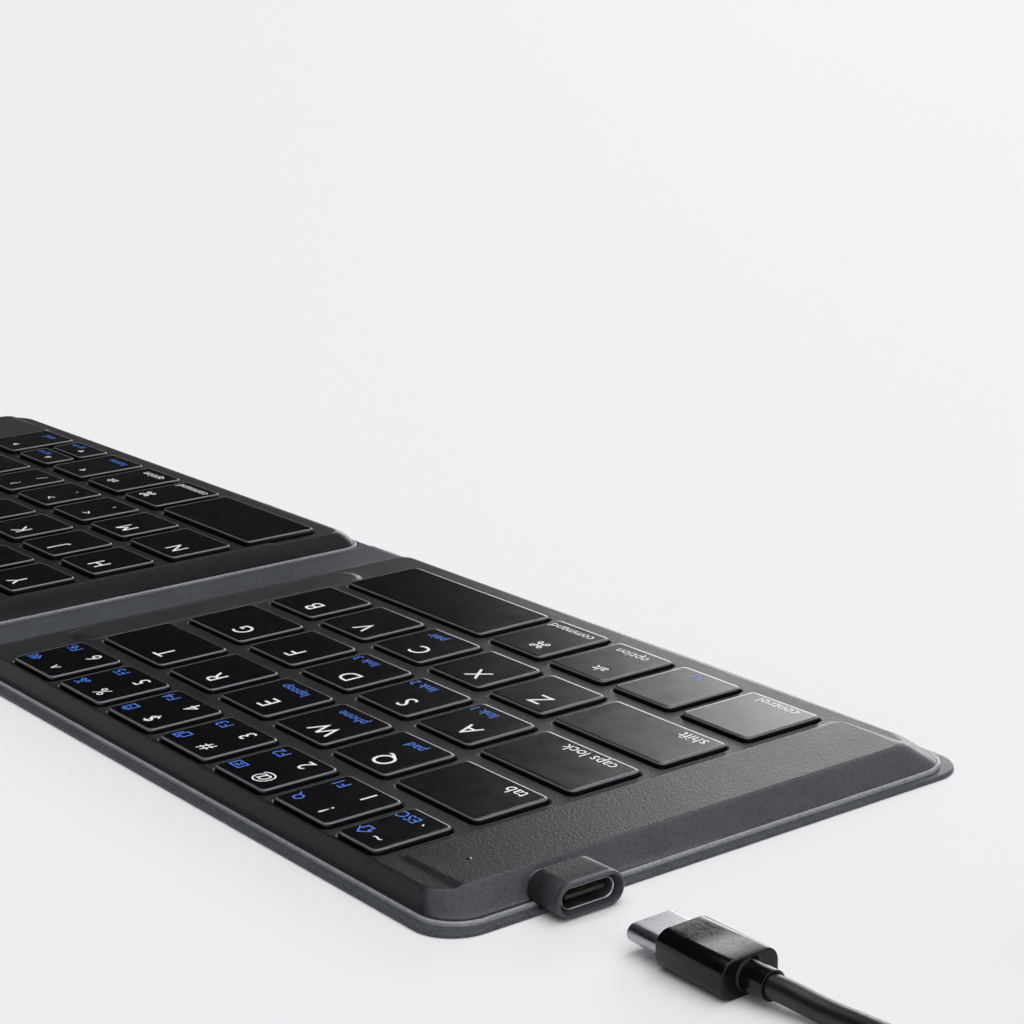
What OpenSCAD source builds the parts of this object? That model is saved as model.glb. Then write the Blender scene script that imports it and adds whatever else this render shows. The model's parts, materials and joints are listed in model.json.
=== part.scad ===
// Two-part folding keyboard: two thin covered halves joined by a soft spine that
// bends along two creases, with separate sprung keys, a rechargeable cell and a
// round-ended charging socket, and its charging lead lying unplugged beside it.
// Units are millimetres. X points to the typist's right, Y to the rear edge, Z up.
// The origin is on the underside, midway between the two creases and the two long edges.

/* [Case] */
// Distance from the middle of the fold to the outer end of each half
half_w = 152.6; // [148:0.2:160]
// Depth of the case, front edge to rear edge
case_d = 96.5; // [94:0.5:104]
// Thickness of the base tray
base_t = 0.7; // [0.6:0.05:0.8]
// Width of the base flange that stands out beyond the upper shell
flange_w = 1.4; // [0.8:0.1:2]
// Corner radius of the base flange
corner_r = 8; // [6:0.5:10]
// Corner radius of the upper shell beside the fold
fold_corner_r = 5; // [3:0.5:6]
// Height of the vertical lip at the foot of the upper shell
lip_h = 0.6; // [0.4:0.1:0.9]
// Height of the key field above the underside
deck_z = 4.5; // [4.3:0.1:4.6]
// Thickness of the shell over the keys
deck_t = 0.7; // [0.5:0.05:0.8]
// Thickness of the shell's outer walls
wall_t = 1.2; // [0.9:0.1:1.5]
// Width of the sloping border at the outer ends
end_slope_w = 2.8; // [2.5:0.1:4]
// Width of the sloping border along the rear
rear_slope_w = 2.1; // [1.5:0.1:2.3]
// Width of the sloping border along the front
front_slope_w = 4.6; // [4:0.1:7]
// Width of the sloping border beside the fold on the left half
left_fold_slope_w = 9.5; // [7:0.1:10]
// Width of the sloping border beside the fold on the right half
right_fold_slope_w = 1.6; // [1.2:0.1:3.2]
// Height of the raised pads above the key field
pad_rise = 0.4; // [0.2:0.1:0.5]
// Width of each raised pad's sloping edge
pad_slope_w = 1.2; // [0.6:0.1:1.5]

/* [Fold] */
// Distance between the two creases
crease_span = 10; // [9.9:0.1:10.2]
// Thickness of the soft spine
spine_t = 1.1; // [1:0.05:1.2]
// Gap between the spine's round edge and the shells
crease_gap = 0.3; // [0.2:0.05:0.4]
// Largest bend at each crease
crease_bend = 90; // [80:1:90]
// Width of the ribbon cable inside the spine
ribbon_w = 14; // [8:1:20]
// Thickness of the ribbon cable
ribbon_t = 0.3; // [0.2:0.05:0.4]

/* [Keys] */
// Width of a letter key
key_w = 13.6; // [13:0.1:13.8]
// Depth of a letter key
key_d = 12.9; // [12:0.1:13.2]
// Gap between neighbouring keys in a row
key_gap = 2.65; // [2.4:0.05:2.9]
// Distance from one row to the next
row_pitch = 16.6; // [16.4:0.1:16.8]
// Depth of the keys in the front row
front_key_d = 15.2; // [14:0.1:15.6]
// Rear edge of the number row, measured from the middle of the case
rear_row_y = 44.1; // [43.6:0.1:44.2]
// Corner radius of a key
key_r = 1.4; // [0.8:0.1:2]
// Gap between a key and its window
window_gap = 0.35; // [0.25:0.05:0.45]
// Height of the left keys' tops above the key field
left_key_rise = 0.7; // [0.5:0.05:0.75]
// Height of the right keys' tops above the key field
right_key_rise = 1; // [0.8:0.05:1]
// Height of a key from its skirt to its top
key_h = 2.4; // [2:0.1:2.5]
// Thickness of a key's top
key_top_t = 0.9; // [0.7:0.1:1]
// Thickness of a key's skirt
key_skirt_t = 0.8; // [0.6:0.1:1]
// Width of the step round a key's top
key_edge = 0.2; // [0.1:0.05:0.3]
// Distance that a key travels
key_travel = 1.3; // [1:0.05:1.3]
// Left edge of the left key block, measured from the fold
left_block_x = -131.6; // [-131.8:0.1:-131.2]
// Width of the left key block
left_block_w = 106.8; // [106:0.1:107.4]
// Left edge of the right key block, measured from the fold
right_block_x = 9.9; // [9.8:0.1:10.2]
// Width of the right key block
right_block_w = 114.7; // [114:0.1:116]
// Width of the tilde key
tilde_w = 9.3; // [8.5:0.1:10]
// Width of the tab key
tab_w = 19.5; // [18:0.1:20.5]
// Width of the T key
t_w = 19.7; // [18:0.1:20.5]
// Width of the caps lock key
caps_w = 21.8; // [21:0.1:23]
// Width of the G key
g_w = 17.4; // [16:0.1:18]
// Width of the left shift key
shift_w = 25.5; // [24:0.1:26]
// Width of the control key
control_w = 15; // [14:0.1:16]
// Width of the left space key
left_space_w = 40.4; // [38:0.1:42]
// Width of the last key in each of the upper three rows on the right
enter_w = 17.2; // [16:0.1:18]
// Width of the N key
n_w = 17; // [15:0.1:18]
// Width of the right shift key
right_shift_w = 30.1; // [28:0.1:32]
// Width of the right space key
right_space_w = 33.4; // [30:0.1:34]
// Gap between the two half-depth arrow keys
arrow_gap = 1.4; // [1.2:0.1:2]

/* [Inside] */
// Thickness of the steel plate under the keys
plate_t = 0.4; // [0.3:0.05:0.5]
// Thickness of the switch membrane
membrane_t = 0.3; // [0.2:0.05:0.35]
// Width of the plate beyond the key block
plate_edge = 2; // [1:0.1:3]
// Radius of a rubber dome at its foot
dome_r = 2.6; // [2:0.1:2.8]
// Length of a scissor link
link_l = 9; // [7:0.5:9.5]
// Depth across the outer scissor link
link_d = 9.8; // [9:0.1:10]
// Thickness of a scissor link
link_t = 0.5; // [0.4:0.05:0.6]
// Width of a scissor link's bars
link_bar = 0.8; // [0.6:0.05:0.9]
// Tilt of a scissor link
link_tilt = 10; // [8:0.5:11]
// Size of the cell along X
cell_w = 10.6; // [8:0.1:11]
// Size of the cell along Y
cell_d = 43; // [30:0.5:44]
// Thickness of the cell
cell_t = 2.5; // [2:0.1:2.6]
// Radius of a closing magnet
magnet_r = 2.2; // [1.5:0.1:2.3]
// Thickness of a closing magnet
magnet_t = 1.6; // [1:0.1:1.8]

/* [Charging socket] */
// Position of the socket along Y
port_y = 27.4; // [24:0.1:30]
// Height of the socket's middle
port_z = 2.6; // [2.55:0.05:2.7]
// Distance from the fold to the socket's mouth
mouth_x = 156.5; // [155:0.1:158]
// Width of the barrel round the socket
barrel_w = 11.2; // [10.6:0.1:12.4]
// Height of the barrel round the socket
barrel_h = 4.9; // [4.5:0.1:5]
// Inside width of the socket's metal shell
socket_w = 8.34; // [8.3:0.01:8.4]
// Inside height of the socket's metal shell
socket_h = 2.56; // [2.5:0.01:2.6]
// Wall of the socket's metal shell
socket_wall = 0.3; // [0.2:0.05:0.35]
// Length of the socket's metal shell
socket_l = 7.8; // [7.4:0.1:8.2]
// Width of the socket's tongue
tongue_w = 6.6; // [6:0.1:6.7]
// Thickness of the socket's tongue
tongue_t = 0.7; // [0.6:0.05:0.75]
// Length of the socket's tongue
tongue_l = 5; // [4.4:0.1:5.2]

/* [Charging lead] */
// Gap from the socket's mouth to the face of the plug's grip
plug_gap = 17.7; // [12:0.1:20]
// Width of the plug's grip
grip_w = 9.2; // [9:0.1:11]
// Length of the plug's grip
grip_l = 12.2; // [10:0.1:20]
// Length of the plug's metal shell
plug_l = 6; // [5.8:0.05:6.2]
// Clearance all round the plug's shell in the socket
plug_clear = 0.05; // [0.03:0.01:0.08]
// Length of the strain relief behind the grip
relief_l = 4; // [3:0.5:8]
// Diameter of the strain relief
relief_dia = 4; // [3.6:0.1:4.6]
// Diameter of the lead
cable_dia = 3.2; // [2.8:0.1:3.4]
// Diameter of the lead's coil at the middle of its turns
coil_dia = 36; // [34:1:38]
// Width of the far plug's metal shell
far_shell_w = 12; // [11.5:0.1:12.5]
// Height of the far plug's metal shell
far_shell_h = 4.5; // [4:0.1:5]

/* [Hidden] */
$fn = 48;
eps = 0.01; // Overlap of faces that a cut or a union must pass through
// Heights, from the underside up
lip_z = base_t + lip_h;
shell_z = base_t;
roof_z = deck_z - deck_t;
left_key_z = deck_z + left_key_rise;
right_key_z = deck_z + right_key_rise;
plate_z = base_t;
membrane_z = plate_z + plate_t;
dome_z = membrane_z + membrane_t;
pad_z = deck_z + pad_rise;
// Plan sizes of the case, drawn for the left half and mirrored for the right
crease_x = crease_span / 2;
fold_end = crease_x + spine_t / 2 + crease_gap;
lip_end = half_w - flange_w;
lip_front = case_d / 2 - flange_w;
lip_r = corner_r - flange_w;
fold_edge_r = 0.5;
// Raised pads: one at each outer end and one beside the fold on the left half
pad_gap = 2.5;
pad_end_inset = end_slope_w;
pad_front_inset = front_slope_w;
pad_rear_inset = 4.4;
pad_window_gap = 0.4;
fold_pad_w = 7.6;
fold_pad_x = left_block_x + left_block_w + window_gap + pad_window_gap;
fold_pad_front = -27;
fold_pad_rear = 30;
pad_r = 2.4;
// Rows of keys: names and widths, rear to front; the keys of a row share the block's width
function fit(widths, block) = let (spare = block - sum(widths) - (len(widths) - 1) * key_gap)
    [for (w = widths) w + spare / len(widths)];
function sum(list, i = 0) = i < len(list) ? list[i] + sum(list, i + 1) : 0;
function repeat(w, n) = [for (i = [1:n]) w];
function left_edge(widths, n) = n == 0 ? 0 : left_edge(widths, n - 1) + widths[n - 1] + key_gap;
LEFT_NAMES = [
    ["key_tilde", "key_1", "key_2", "key_3", "key_4", "key_5", "key_6"],
    ["key_tab", "key_q", "key_w", "key_e", "key_r", "key_t"],
    ["key_caps_lock", "key_a", "key_s", "key_d", "key_f", "key_g"],
    ["key_left_shift", "key_z", "key_x", "key_c", "key_v", "key_b"],
    ["key_control", "key_fn", "key_left_option", "key_left_command", "key_left_space"]];
LEFT_WIDTHS = [
    fit(concat([tilde_w], repeat(key_w, 6)), left_block_w),
    fit(concat([tab_w], repeat(key_w, 4), [t_w]), left_block_w),
    fit(concat([caps_w], repeat(key_w, 4), [g_w]), left_block_w),
    fit(concat([shift_w], repeat(key_w, 5)), left_block_w),
    fit(concat([control_w], repeat(key_w, 3), [left_space_w]), left_block_w)];
RIGHT_NAMES = ["right_number_row_keys", "right_upper_row_keys", "right_home_row_keys",
    "right_lower_row_keys", "right_front_row_keys"];
RIGHT_WIDTHS = [
    fit(concat(repeat(key_w, 6), [enter_w]), right_block_w),
    fit(concat(repeat(key_w, 6), [enter_w]), right_block_w),
    fit(concat(repeat(key_w, 6), [enter_w]), right_block_w),
    fit(concat([n_w], repeat(key_w, 4), [right_shift_w]), right_block_w),
    fit(concat([right_space_w], repeat(key_w, 5)), right_block_w)];
FRONT_ROW = 4;
ARROW_KEY = 4;
function row_rear(row) = rear_row_y - row * row_pitch;
function row_depth(row) = row == FRONT_ROW ? front_key_d : key_d;
function half_depth() = (front_key_d - arrow_gap) / 2;
// Each key is [left edge, rear edge, width, depth]
function left_key(row, n) =
    [left_block_x + left_edge(LEFT_WIDTHS[row], n), row_rear(row), LEFT_WIDTHS[row][n], row_depth(row)];
function right_key(row, n) =
    [right_block_x + left_edge(RIGHT_WIDTHS[row], n), row_rear(row), RIGHT_WIDTHS[row][n], row_depth(row)];
function split(key) = [
    [key[0], key[1], key[2], half_depth()],
    [key[0], key[1] - half_depth() - arrow_gap, key[2], half_depth()]];
function right_row(row) = [for (n = [0:len(RIGHT_WIDTHS[row]) - 1])
    for (key = row == FRONT_ROW && n == ARROW_KEY ? split(right_key(row, n)) : [right_key(row, n)]) key];
LEFT_KEYS = [for (row = [0:4]) for (n = [0:len(LEFT_WIDTHS[row]) - 1]) left_key(row, n)];
RIGHT_KEYS = [for (row = [0:4]) each right_row(row)];
block_front = row_rear(FRONT_ROW) - front_key_d;
// Scissor links and domes
link_z = (dome_z + left_key_z - key_top_t) / 2;
dome_top_r = 1.4;
small_dome_r = 1.6;
dome_gap = 0.1;
link_clear = 0.2;
// Electronics
bay_x = left_block_x - 2;
cell_z = base_t + 0.05;
cell_r = 1;
board_t = 0.8;
board_w = 13;
board_d = 22;
board_z = port_z - board_t / 2;
board_gap = 0.05;
chip_size = 5;
chip_h = board_z - base_t - 0.1;
bay_gap = 1;
magnet_x = -half_w + 11.4;
magnet_front_y = -case_d / 2 + 7.2;
magnet_rear_y = case_d / 2 - 6;
cell_y = magnet_front_y + 5.7;
chip_offset = 7.6;
socket_notch_h = 6;
barrel_l = 10;
barrel_gap = 0.1;
socket_out_w = socket_w + 2 * socket_wall;
socket_out_h = socket_h + 2 * socket_wall;
socket_back = 1.6;
socket_recess = 0.3;
// Charging lead
grip_x = -mouth_x - plug_gap;
plug_w = socket_w - 2 * plug_clear;
plug_h = socket_h - 2 * plug_clear;
plug_wall = 0.35;
// The grip lies on the surface, level with the socket
grip_h = 2 * port_z;
grip_r = 2;
relief_x = grip_x - grip_l;
cable_x = relief_x - relief_l;
// Coil: turns side by side in layers, lying on the surface
coil_x = -252;
coil_y = 10;
coil_layers = 2;
coil_columns = 2;
coil_h = coil_layers * cable_dia;
// The lead's route from its strain relief to the coil, and from the coil to the far plug
ROUTE_OUT = [[-190.4, 27.4, 2.6], [-193, 27, 2.4], [-196, 26.5, 2], [-199, 26, 1.7], [-203, 25.4, 1.6],
    [-208, 25, 1.6], [-213, 24.9, 1.6], [-218, 25.1, 1.6], [-223, 25.6, 1.6], [-228, 26.4, 1.6],
    [-233, 27.4, 1.6], [-238, 28.4, 1.6], [-244, 29.3, 1.6]];
ROUTE_END = [[-247, -9.5, 4.6], [-244, -10.2, 4], [-241, -11.1, 3.3], [-238, -11.8, 2.8], [-235, -12, 2.6]];
cable_sides = 8;
far_x = -235;
far_y = -12;
far_grip_l = 18;
far_grip_w = 15;
far_grip_h = 5.2;
far_grip_r = 1.6;
far_shell_l = 12;
far_wall = 0.4;

// A flat outline from x0 to x1 and y0 to y1, with corner radius r0 at x0 and r1 at x1
module outline(x0, x1, y0, y1, r0, r1) {
    polygon([[x0 + r0, y0], [x1 - r1, y0], [x1, y0 + r1], [x1, y1 - r1],
        [x1 - r1, y1], [x0 + r0, y1], [x0, y1 - r0], [x0, y0 + r0]]);
    for (corner = [[x0 + r0, r0], [x1 - r1, r1]]) for (y = [y0 + corner[1], y1 - corner[1]])
        translate([corner[0], y]) circle(corner[1]);
}

// A rounded slab: an outline with one radius, from z0 to z1
module slab(x0, x1, y0, y1, r, z0, z1) {
    translate([0, 0, z0]) linear_extrude(z1 - z0) outline(x0, x1, y0, y1, r, r);
}

// A round-ended bar along X, centred on Y and Z, from x0 to x1
module stadium_bar(x0, x1, w, h) {
    translate([x0, 0, 0]) rotate([90, 0, 90]) linear_extrude(x1 - x0) {
        square([w - h, h], center = true);
        for (side = [-1, 1]) translate([side * (w - h) / 2, 0]) circle(h / 2);
    }
}

// A sloping border's section: from the lip, a soft S up to the deck
function slope(from, to, z0, z1) = let (w = to - from, h = z1 - z0) [
    [from, z0], [from + w * 0.3, z0 + h * 0.22], [from + w * 0.62, z0 + h * 0.8], [to, z1]];

// A low block with sloping borders: limits and slope widths are [x0, x1, y0, y1]
module bordered_block(lim, slopes, z_foot, z_lip, z_top, r0, r1) {
    left = slope(lim[0], lim[0] + slopes[0], z_lip, z_top);
    right = slope(lim[1], lim[1] - slopes[1], z_lip, z_top);
    front = slope(lim[2], lim[2] + slopes[2], z_lip, z_top);
    rear = slope(lim[3], lim[3] - slopes[3], z_lip, z_top);
    intersection() {
        translate([0, lim[3], 0]) rotate([90, 0, 0]) linear_extrude(lim[3] - lim[2])
            polygon(concat([[lim[0], z_foot]], left, [for (i = [3:-1:0]) right[i]], [[lim[1], z_foot]]));
        translate([lim[0], 0, 0]) rotate([90, 0, 90]) linear_extrude(lim[1] - lim[0])
            polygon(concat([[lim[2], z_foot]], front, [for (i = [3:-1:0]) rear[i]], [[lim[3], z_foot]]));
        translate([0, 0, z_foot]) linear_extrude(z_top - z_foot)
            outline(lim[0], lim[1], lim[2], lim[3], r0, r1);
    }
}

// An upper shell of the left half's handing, without its windows
module shell_body(fold_slope_w) {
    lim = [-lip_end, -fold_end, -lip_front, lip_front];
    inner = [lim[0] + wall_t, lim[1] - wall_t, lim[2] + wall_t, lim[3] - wall_t];
    slopes = [end_slope_w, fold_slope_w, front_slope_w, rear_slope_w];
    difference() {
        bordered_block(lim, slopes, shell_z, lip_z, deck_z, lip_r, fold_corner_r);
        bordered_block(inner, slopes, shell_z - eps, lip_z - deck_t, roof_z,
            lip_r - wall_t, fold_corner_r - wall_t);
    }
}

// A raised pad on the deck, between the given limits
module pad(x0, x1, y0, y1) {
    bordered_block([x0, x1, y0, y1], repeat(pad_slope_w, 4), deck_z - eps, deck_z, pad_z, pad_r, pad_r);
}

module key_window(key) {
    slab(key[0] - window_gap, key[0] + key[2] + window_gap, key[1] - key[3] - window_gap,
        key[1] + window_gap, key_r + window_gap, shell_z + lip_h, pad_z + 1);
}

module left_top_shell() {
    color("#3a3d40") difference() {
        union() {
            shell_body(left_fold_slope_w);
            pad(-lip_end + pad_end_inset, left_block_x - pad_gap,
                -lip_front + pad_front_inset, lip_front - pad_rear_inset);
            pad(fold_pad_x, fold_pad_x + fold_pad_w, fold_pad_front, fold_pad_rear);
        }
        for (key = LEFT_KEYS) key_window(key);
        port_cut();
    }
}

module right_top_shell() {
    color("#3a3d40") difference() {
        union() {
            mirror([1, 0, 0]) shell_body(right_fold_slope_w);
            pad(right_block_x + right_block_w + pad_gap, lip_end - pad_end_inset,
                -lip_front + pad_front_inset, lip_front - pad_rear_inset);
        }
        for (key = RIGHT_KEYS) key_window(key);
    }
}

// The hole that the socket's barrel passes through
module port_cut() {
    translate([0, port_y, port_z])
        stadium_bar(-mouth_x - 1, -mouth_x + barrel_l + barrel_gap,
            barrel_w + 2 * barrel_gap, barrel_h + 2 * barrel_gap);
}

module base_plate() {
    linear_extrude(base_t) outline(-half_w, -fold_end, -case_d / 2, case_d / 2, corner_r, fold_edge_r);
}

module left_base() {
    color("#2c2e31") difference() {
        base_plate();
        port_cut();
    }
}

module right_base() {
    color("#2c2e31") mirror([1, 0, 0]) base_plate();
}

// The plate and the membrane under one key block
module block_sheet(x0, w, z, t) {
    slab(x0 - plate_edge, x0 + w + plate_edge, block_front - plate_edge / 2,
        rear_row_y + plate_edge / 4, 1, z, z + t);
}

module left_support_plate() {
    color("#9a9da0") block_sheet(left_block_x, left_block_w, plate_z, plate_t);
}

module right_support_plate() {
    color("#9a9da0") block_sheet(right_block_x + plate_edge, right_block_w - plate_edge, plate_z, plate_t);
}

module left_membrane() {
    color("#c9d2cf") block_sheet(left_block_x, left_block_w, membrane_z, membrane_t);
}

module right_membrane() {
    color("#c9d2cf")
        block_sheet(right_block_x + plate_edge, right_block_w - plate_edge, membrane_z, membrane_t);
}

// The middle of a key, in plan
function middle(key) = [key[0] + key[2] / 2, key[1] - key[3] / 2];
function is_small(key) = key[3] < link_d + 2 * key_skirt_t || key[2] < link_l + 2 * key_skirt_t;

// One rubber dome under each key, reaching nearly to its underside
module domes(keys, top_z) {
    for (key = keys) translate([middle(key)[0], middle(key)[1], dome_z])
        cylinder(h = top_z - key_top_t - dome_gap - dome_z,
            r1 = is_small(key) ? small_dome_r : dome_r, r2 = is_small(key) ? small_dome_r - 0.4 : dome_top_r);
}

module left_rubber_domes() {
    color("#d8d8d2") domes(LEFT_KEYS, left_key_z);
}

module right_rubber_domes() {
    color("#d8d8d2") domes(RIGHT_KEYS, right_key_z);
}

// One scissor link: a U-shaped frame, open towards +X
module link(d) {
    linear_extrude(link_t, center = true) difference() {
        square([link_l, d], center = true);
        translate([link_bar, 0]) square([link_l, d - 2 * link_bar], center = true);
    }
}

// Two crossed links under each key that is large enough to take them
module scissors(keys, z) {
    inner_d = link_d - 2 * link_bar - 2 * link_clear;
    for (key = keys) if (!is_small(key)) translate([middle(key)[0], middle(key)[1], z]) {
        rotate([0, link_tilt, 0]) link(link_d);
        rotate([0, -link_tilt, 0]) mirror([1, 0, 0]) link(inner_d);
    }
}

module left_scissor_links() {
    color("#e4e4e0") scissors(LEFT_KEYS, link_z);
}

module right_scissor_links() {
    color("#e4e4e0") scissors(RIGHT_KEYS, link_z);
}

// One key: a hollow cap with a stepped top edge, its top at z_top
module key_cap(key, z_top) {
    x1 = key[0] + key[2];
    y0 = key[1] - key[3];
    difference() {
        union() {
            slab(key[0], x1, y0, key[1], key_r, z_top - key_h, z_top - key_edge);
            slab(key[0] + key_edge, x1 - key_edge, y0 + key_edge, key[1] - key_edge,
                key_r - key_edge, z_top - key_edge - eps, z_top);
        }
        slab(key[0] + key_skirt_t, x1 - key_skirt_t, y0 + key_skirt_t, key[1] - key_skirt_t,
            key_r / 2, z_top - key_h - eps, z_top - key_top_t);
    }
}

module left_key_cap(row, n) {
    color("#15151a") key_cap(left_key(row, n), left_key_z);
}

module right_key_row(row) {
    color("#15151a") for (key = right_row(row)) key_cap(key, right_key_z);
}

module battery() {
    color("#b9bcc2") slab(bay_x - cell_w - bay_gap, bay_x - bay_gap, cell_y, cell_y + cell_d,
        cell_r, cell_z, cell_z + cell_t);
}

// The board stands level with the socket, which sits in a notch at its edge
module main_board() {
    color("#2f6b4a") difference() {
        union() {
            translate([bay_x - board_w - bay_gap, port_y - board_d / 2, board_z])
                cube([board_w, board_d, board_t]);
            for (side = [-1, 1])
                translate([bay_x - board_w / 2, port_y + side * chip_offset - chip_size / 2,
                    board_z - chip_h])
                    cube([chip_size, chip_size, chip_h + eps]);
        }
        translate([-mouth_x, port_y - socket_out_w / 2 - board_gap, port_z - socket_notch_h / 2])
            cube([socket_recess + socket_l + board_gap, socket_out_w + 2 * board_gap, socket_notch_h]);
        port_cut();
    }
}

module usb_socket() {
    x0 = -mouth_x + socket_recess;
    color("#c4c6ca") translate([0, port_y, port_z]) {
        difference() {
            stadium_bar(x0, x0 + socket_l, socket_out_w, socket_out_h);
            stadium_bar(x0 - 1, x0 + socket_l - socket_back, socket_w, socket_h);
        }
        translate([x0 + socket_l - socket_back - tongue_l, -tongue_w / 2, -tongue_t / 2])
            cube([tongue_l + eps, tongue_w, tongue_t]);
    }
}

module port_barrel() {
    color("#4a4d50") translate([0, port_y, port_z]) difference() {
        stadium_bar(-mouth_x, -mouth_x + barrel_l, barrel_w, barrel_h);
        stadium_bar(-mouth_x - 1, -mouth_x + barrel_l + 1, socket_out_w + 2 * board_gap,
            socket_out_h + 2 * board_gap);
    }
}

module magnets() {
    for (y = [magnet_front_y, magnet_rear_y])
        translate([magnet_x, y, base_t]) cylinder(r = magnet_r, h = magnet_t);
}

module left_magnets() {
    color("#a8aab0") magnets();
}

module right_magnets() {
    color("#a8aab0") mirror([1, 0, 0]) magnets();
}

// The soft strip between the creases, with a round edge on each crease line
module spine() {
    color("#33363a") difference() {
        translate([0, case_d / 2, spine_t / 2]) rotate([90, 0, 0]) linear_extrude(case_d) {
            square([crease_span, spine_t], center = true);
            for (side = [-1, 1]) translate([side * crease_x, 0]) circle(spine_t / 2);
        }
        translate([-crease_x, -ribbon_w / 2, (spine_t - ribbon_t) / 2])
            cube([crease_span, ribbon_w, ribbon_t]);
    }
}

module ribbon_cable() {
    color("#b06a2c") translate([-crease_x, -ribbon_w / 2, (spine_t - ribbon_t) / 2])
        cube([crease_span, ribbon_w, ribbon_t]);
}

// A plug grip with rounded long edges, from x0 to x1, centred on Y and Z
module grip(x0, x1, w, h, r) {
    translate([x0, 0, 0]) rotate([90, 0, 90]) linear_extrude(x1 - x0)
        outline(-w / 2, w / 2, -h / 2, h / 2, r, r);
}

module lead_plug_grip() {
    color("#17171b") translate([0, port_y, port_z]) {
        grip(relief_x, grip_x, grip_w, grip_h, grip_r);
        translate([cable_x, 0, 0]) rotate([0, 90, 0]) cylinder(d = relief_dia, h = relief_l + eps);
    }
}

module lead_plug_shell() {
    color("#c9cbd0") translate([0, port_y, port_z]) difference() {
        stadium_bar(grip_x, grip_x + plug_l, plug_w, plug_h);
        stadium_bar(grip_x + 0.4, grip_x + plug_l + 1, plug_w - 2 * plug_wall, plug_h - 2 * plug_wall);
    }
}

// The ring of points round a route's point p, square to direction d
function unit(v) = v / norm(v);
function ring(p, d, r) = let (side = unit(cross(d, [0, 0, 1])), up = cross(side, d))
    [for (i = [0:cable_sides - 1]) let (a = 360 * i / cable_sides) p + r * (cos(a) * side + sin(a) * up)];

// A round cable swept along a route's points
module swept_cable(route, r) {
    last = len(route) - 1;
    dirs = [for (i = [0:last]) unit(route[min(i + 1, last)] - route[max(i - 1, 0)])];
    points = [for (i = [0:last]) each ring(route[i], dirs[i], r)];
    walls = [for (i = [0:last - 1]) for (j = [0:cable_sides - 1])
        let (a = i * cable_sides + j, b = i * cable_sides + (j + 1) % cable_sides)
            [a, b, b + cable_sides, a + cable_sides]];
    start = [for (j = [cable_sides - 1:-1:0]) j];
    end = [for (j = [0:cable_sides - 1]) last * cable_sides + j];
    polyhedron(points, concat(walls, [start, end]));
}

module lead_cable() {
    color("#1b1b1f") {
        swept_cable(ROUTE_OUT, cable_dia / 2);
        swept_cable(ROUTE_END, cable_dia / 2);
    }
}

module lead_coil() {
    w = coil_columns * cable_dia;
    color("#1b1b1f") translate([coil_x, coil_y, 0]) rotate_extrude()
        translate([coil_dia / 2, coil_h / 2]) outline(-w / 2, w / 2, -coil_h / 2, coil_h / 2, 1.2, 1.2);
}

module lead_far_plug() {
    color("#17171b") translate([0, far_y, far_grip_h / 2])
        grip(far_x, far_x + far_grip_l, far_grip_w, far_grip_h, far_grip_r);
    color("#c9cbd0") translate([far_x + far_grip_l, far_y - far_shell_w / 2, (far_grip_h - far_shell_h) / 2])
        difference() {
            translate([-eps, 0, 0]) cube([far_shell_l, far_shell_w, far_shell_h]);
            translate([far_wall, far_wall, far_wall])
                cube([far_shell_l, far_shell_w - 2 * far_wall, far_shell_h - 2 * far_wall]);
        }
}

for (row = [0:4]) for (n = [0:len(LEFT_NAMES[row]) - 1])
    left_key_cap(row, n);
for (row = [0:4]) right_key_row(row);
left_top_shell();
left_base();
left_support_plate();
left_membrane();
left_scissor_links();
left_rubber_domes();
battery();
main_board();
usb_socket();
port_barrel();
left_magnets();
right_top_shell();
right_base();
right_support_plate();
right_membrane();
right_scissor_links();
right_rubber_domes();
right_magnets();
spine();
ribbon_cable();
lead_plug_grip();
lead_plug_shell();
lead_cable();
lead_coil();
lead_far_plug();
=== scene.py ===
"""Looks of a two-part folding keyboard with its charging lead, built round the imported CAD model.

Lengths are millimetres in the row frame until a mesh is made, when they become metres.
Each visible CAD node is replaced by a finer piece of the same size and place.
"""

from __future__ import annotations

import functools
import json
import logging
import math
from dataclasses import dataclass
from enum import Enum
from typing import Iterable, Iterator, Sequence

import bmesh
import bpy
import numpy as np
from mathutils import Matrix, Vector

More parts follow.
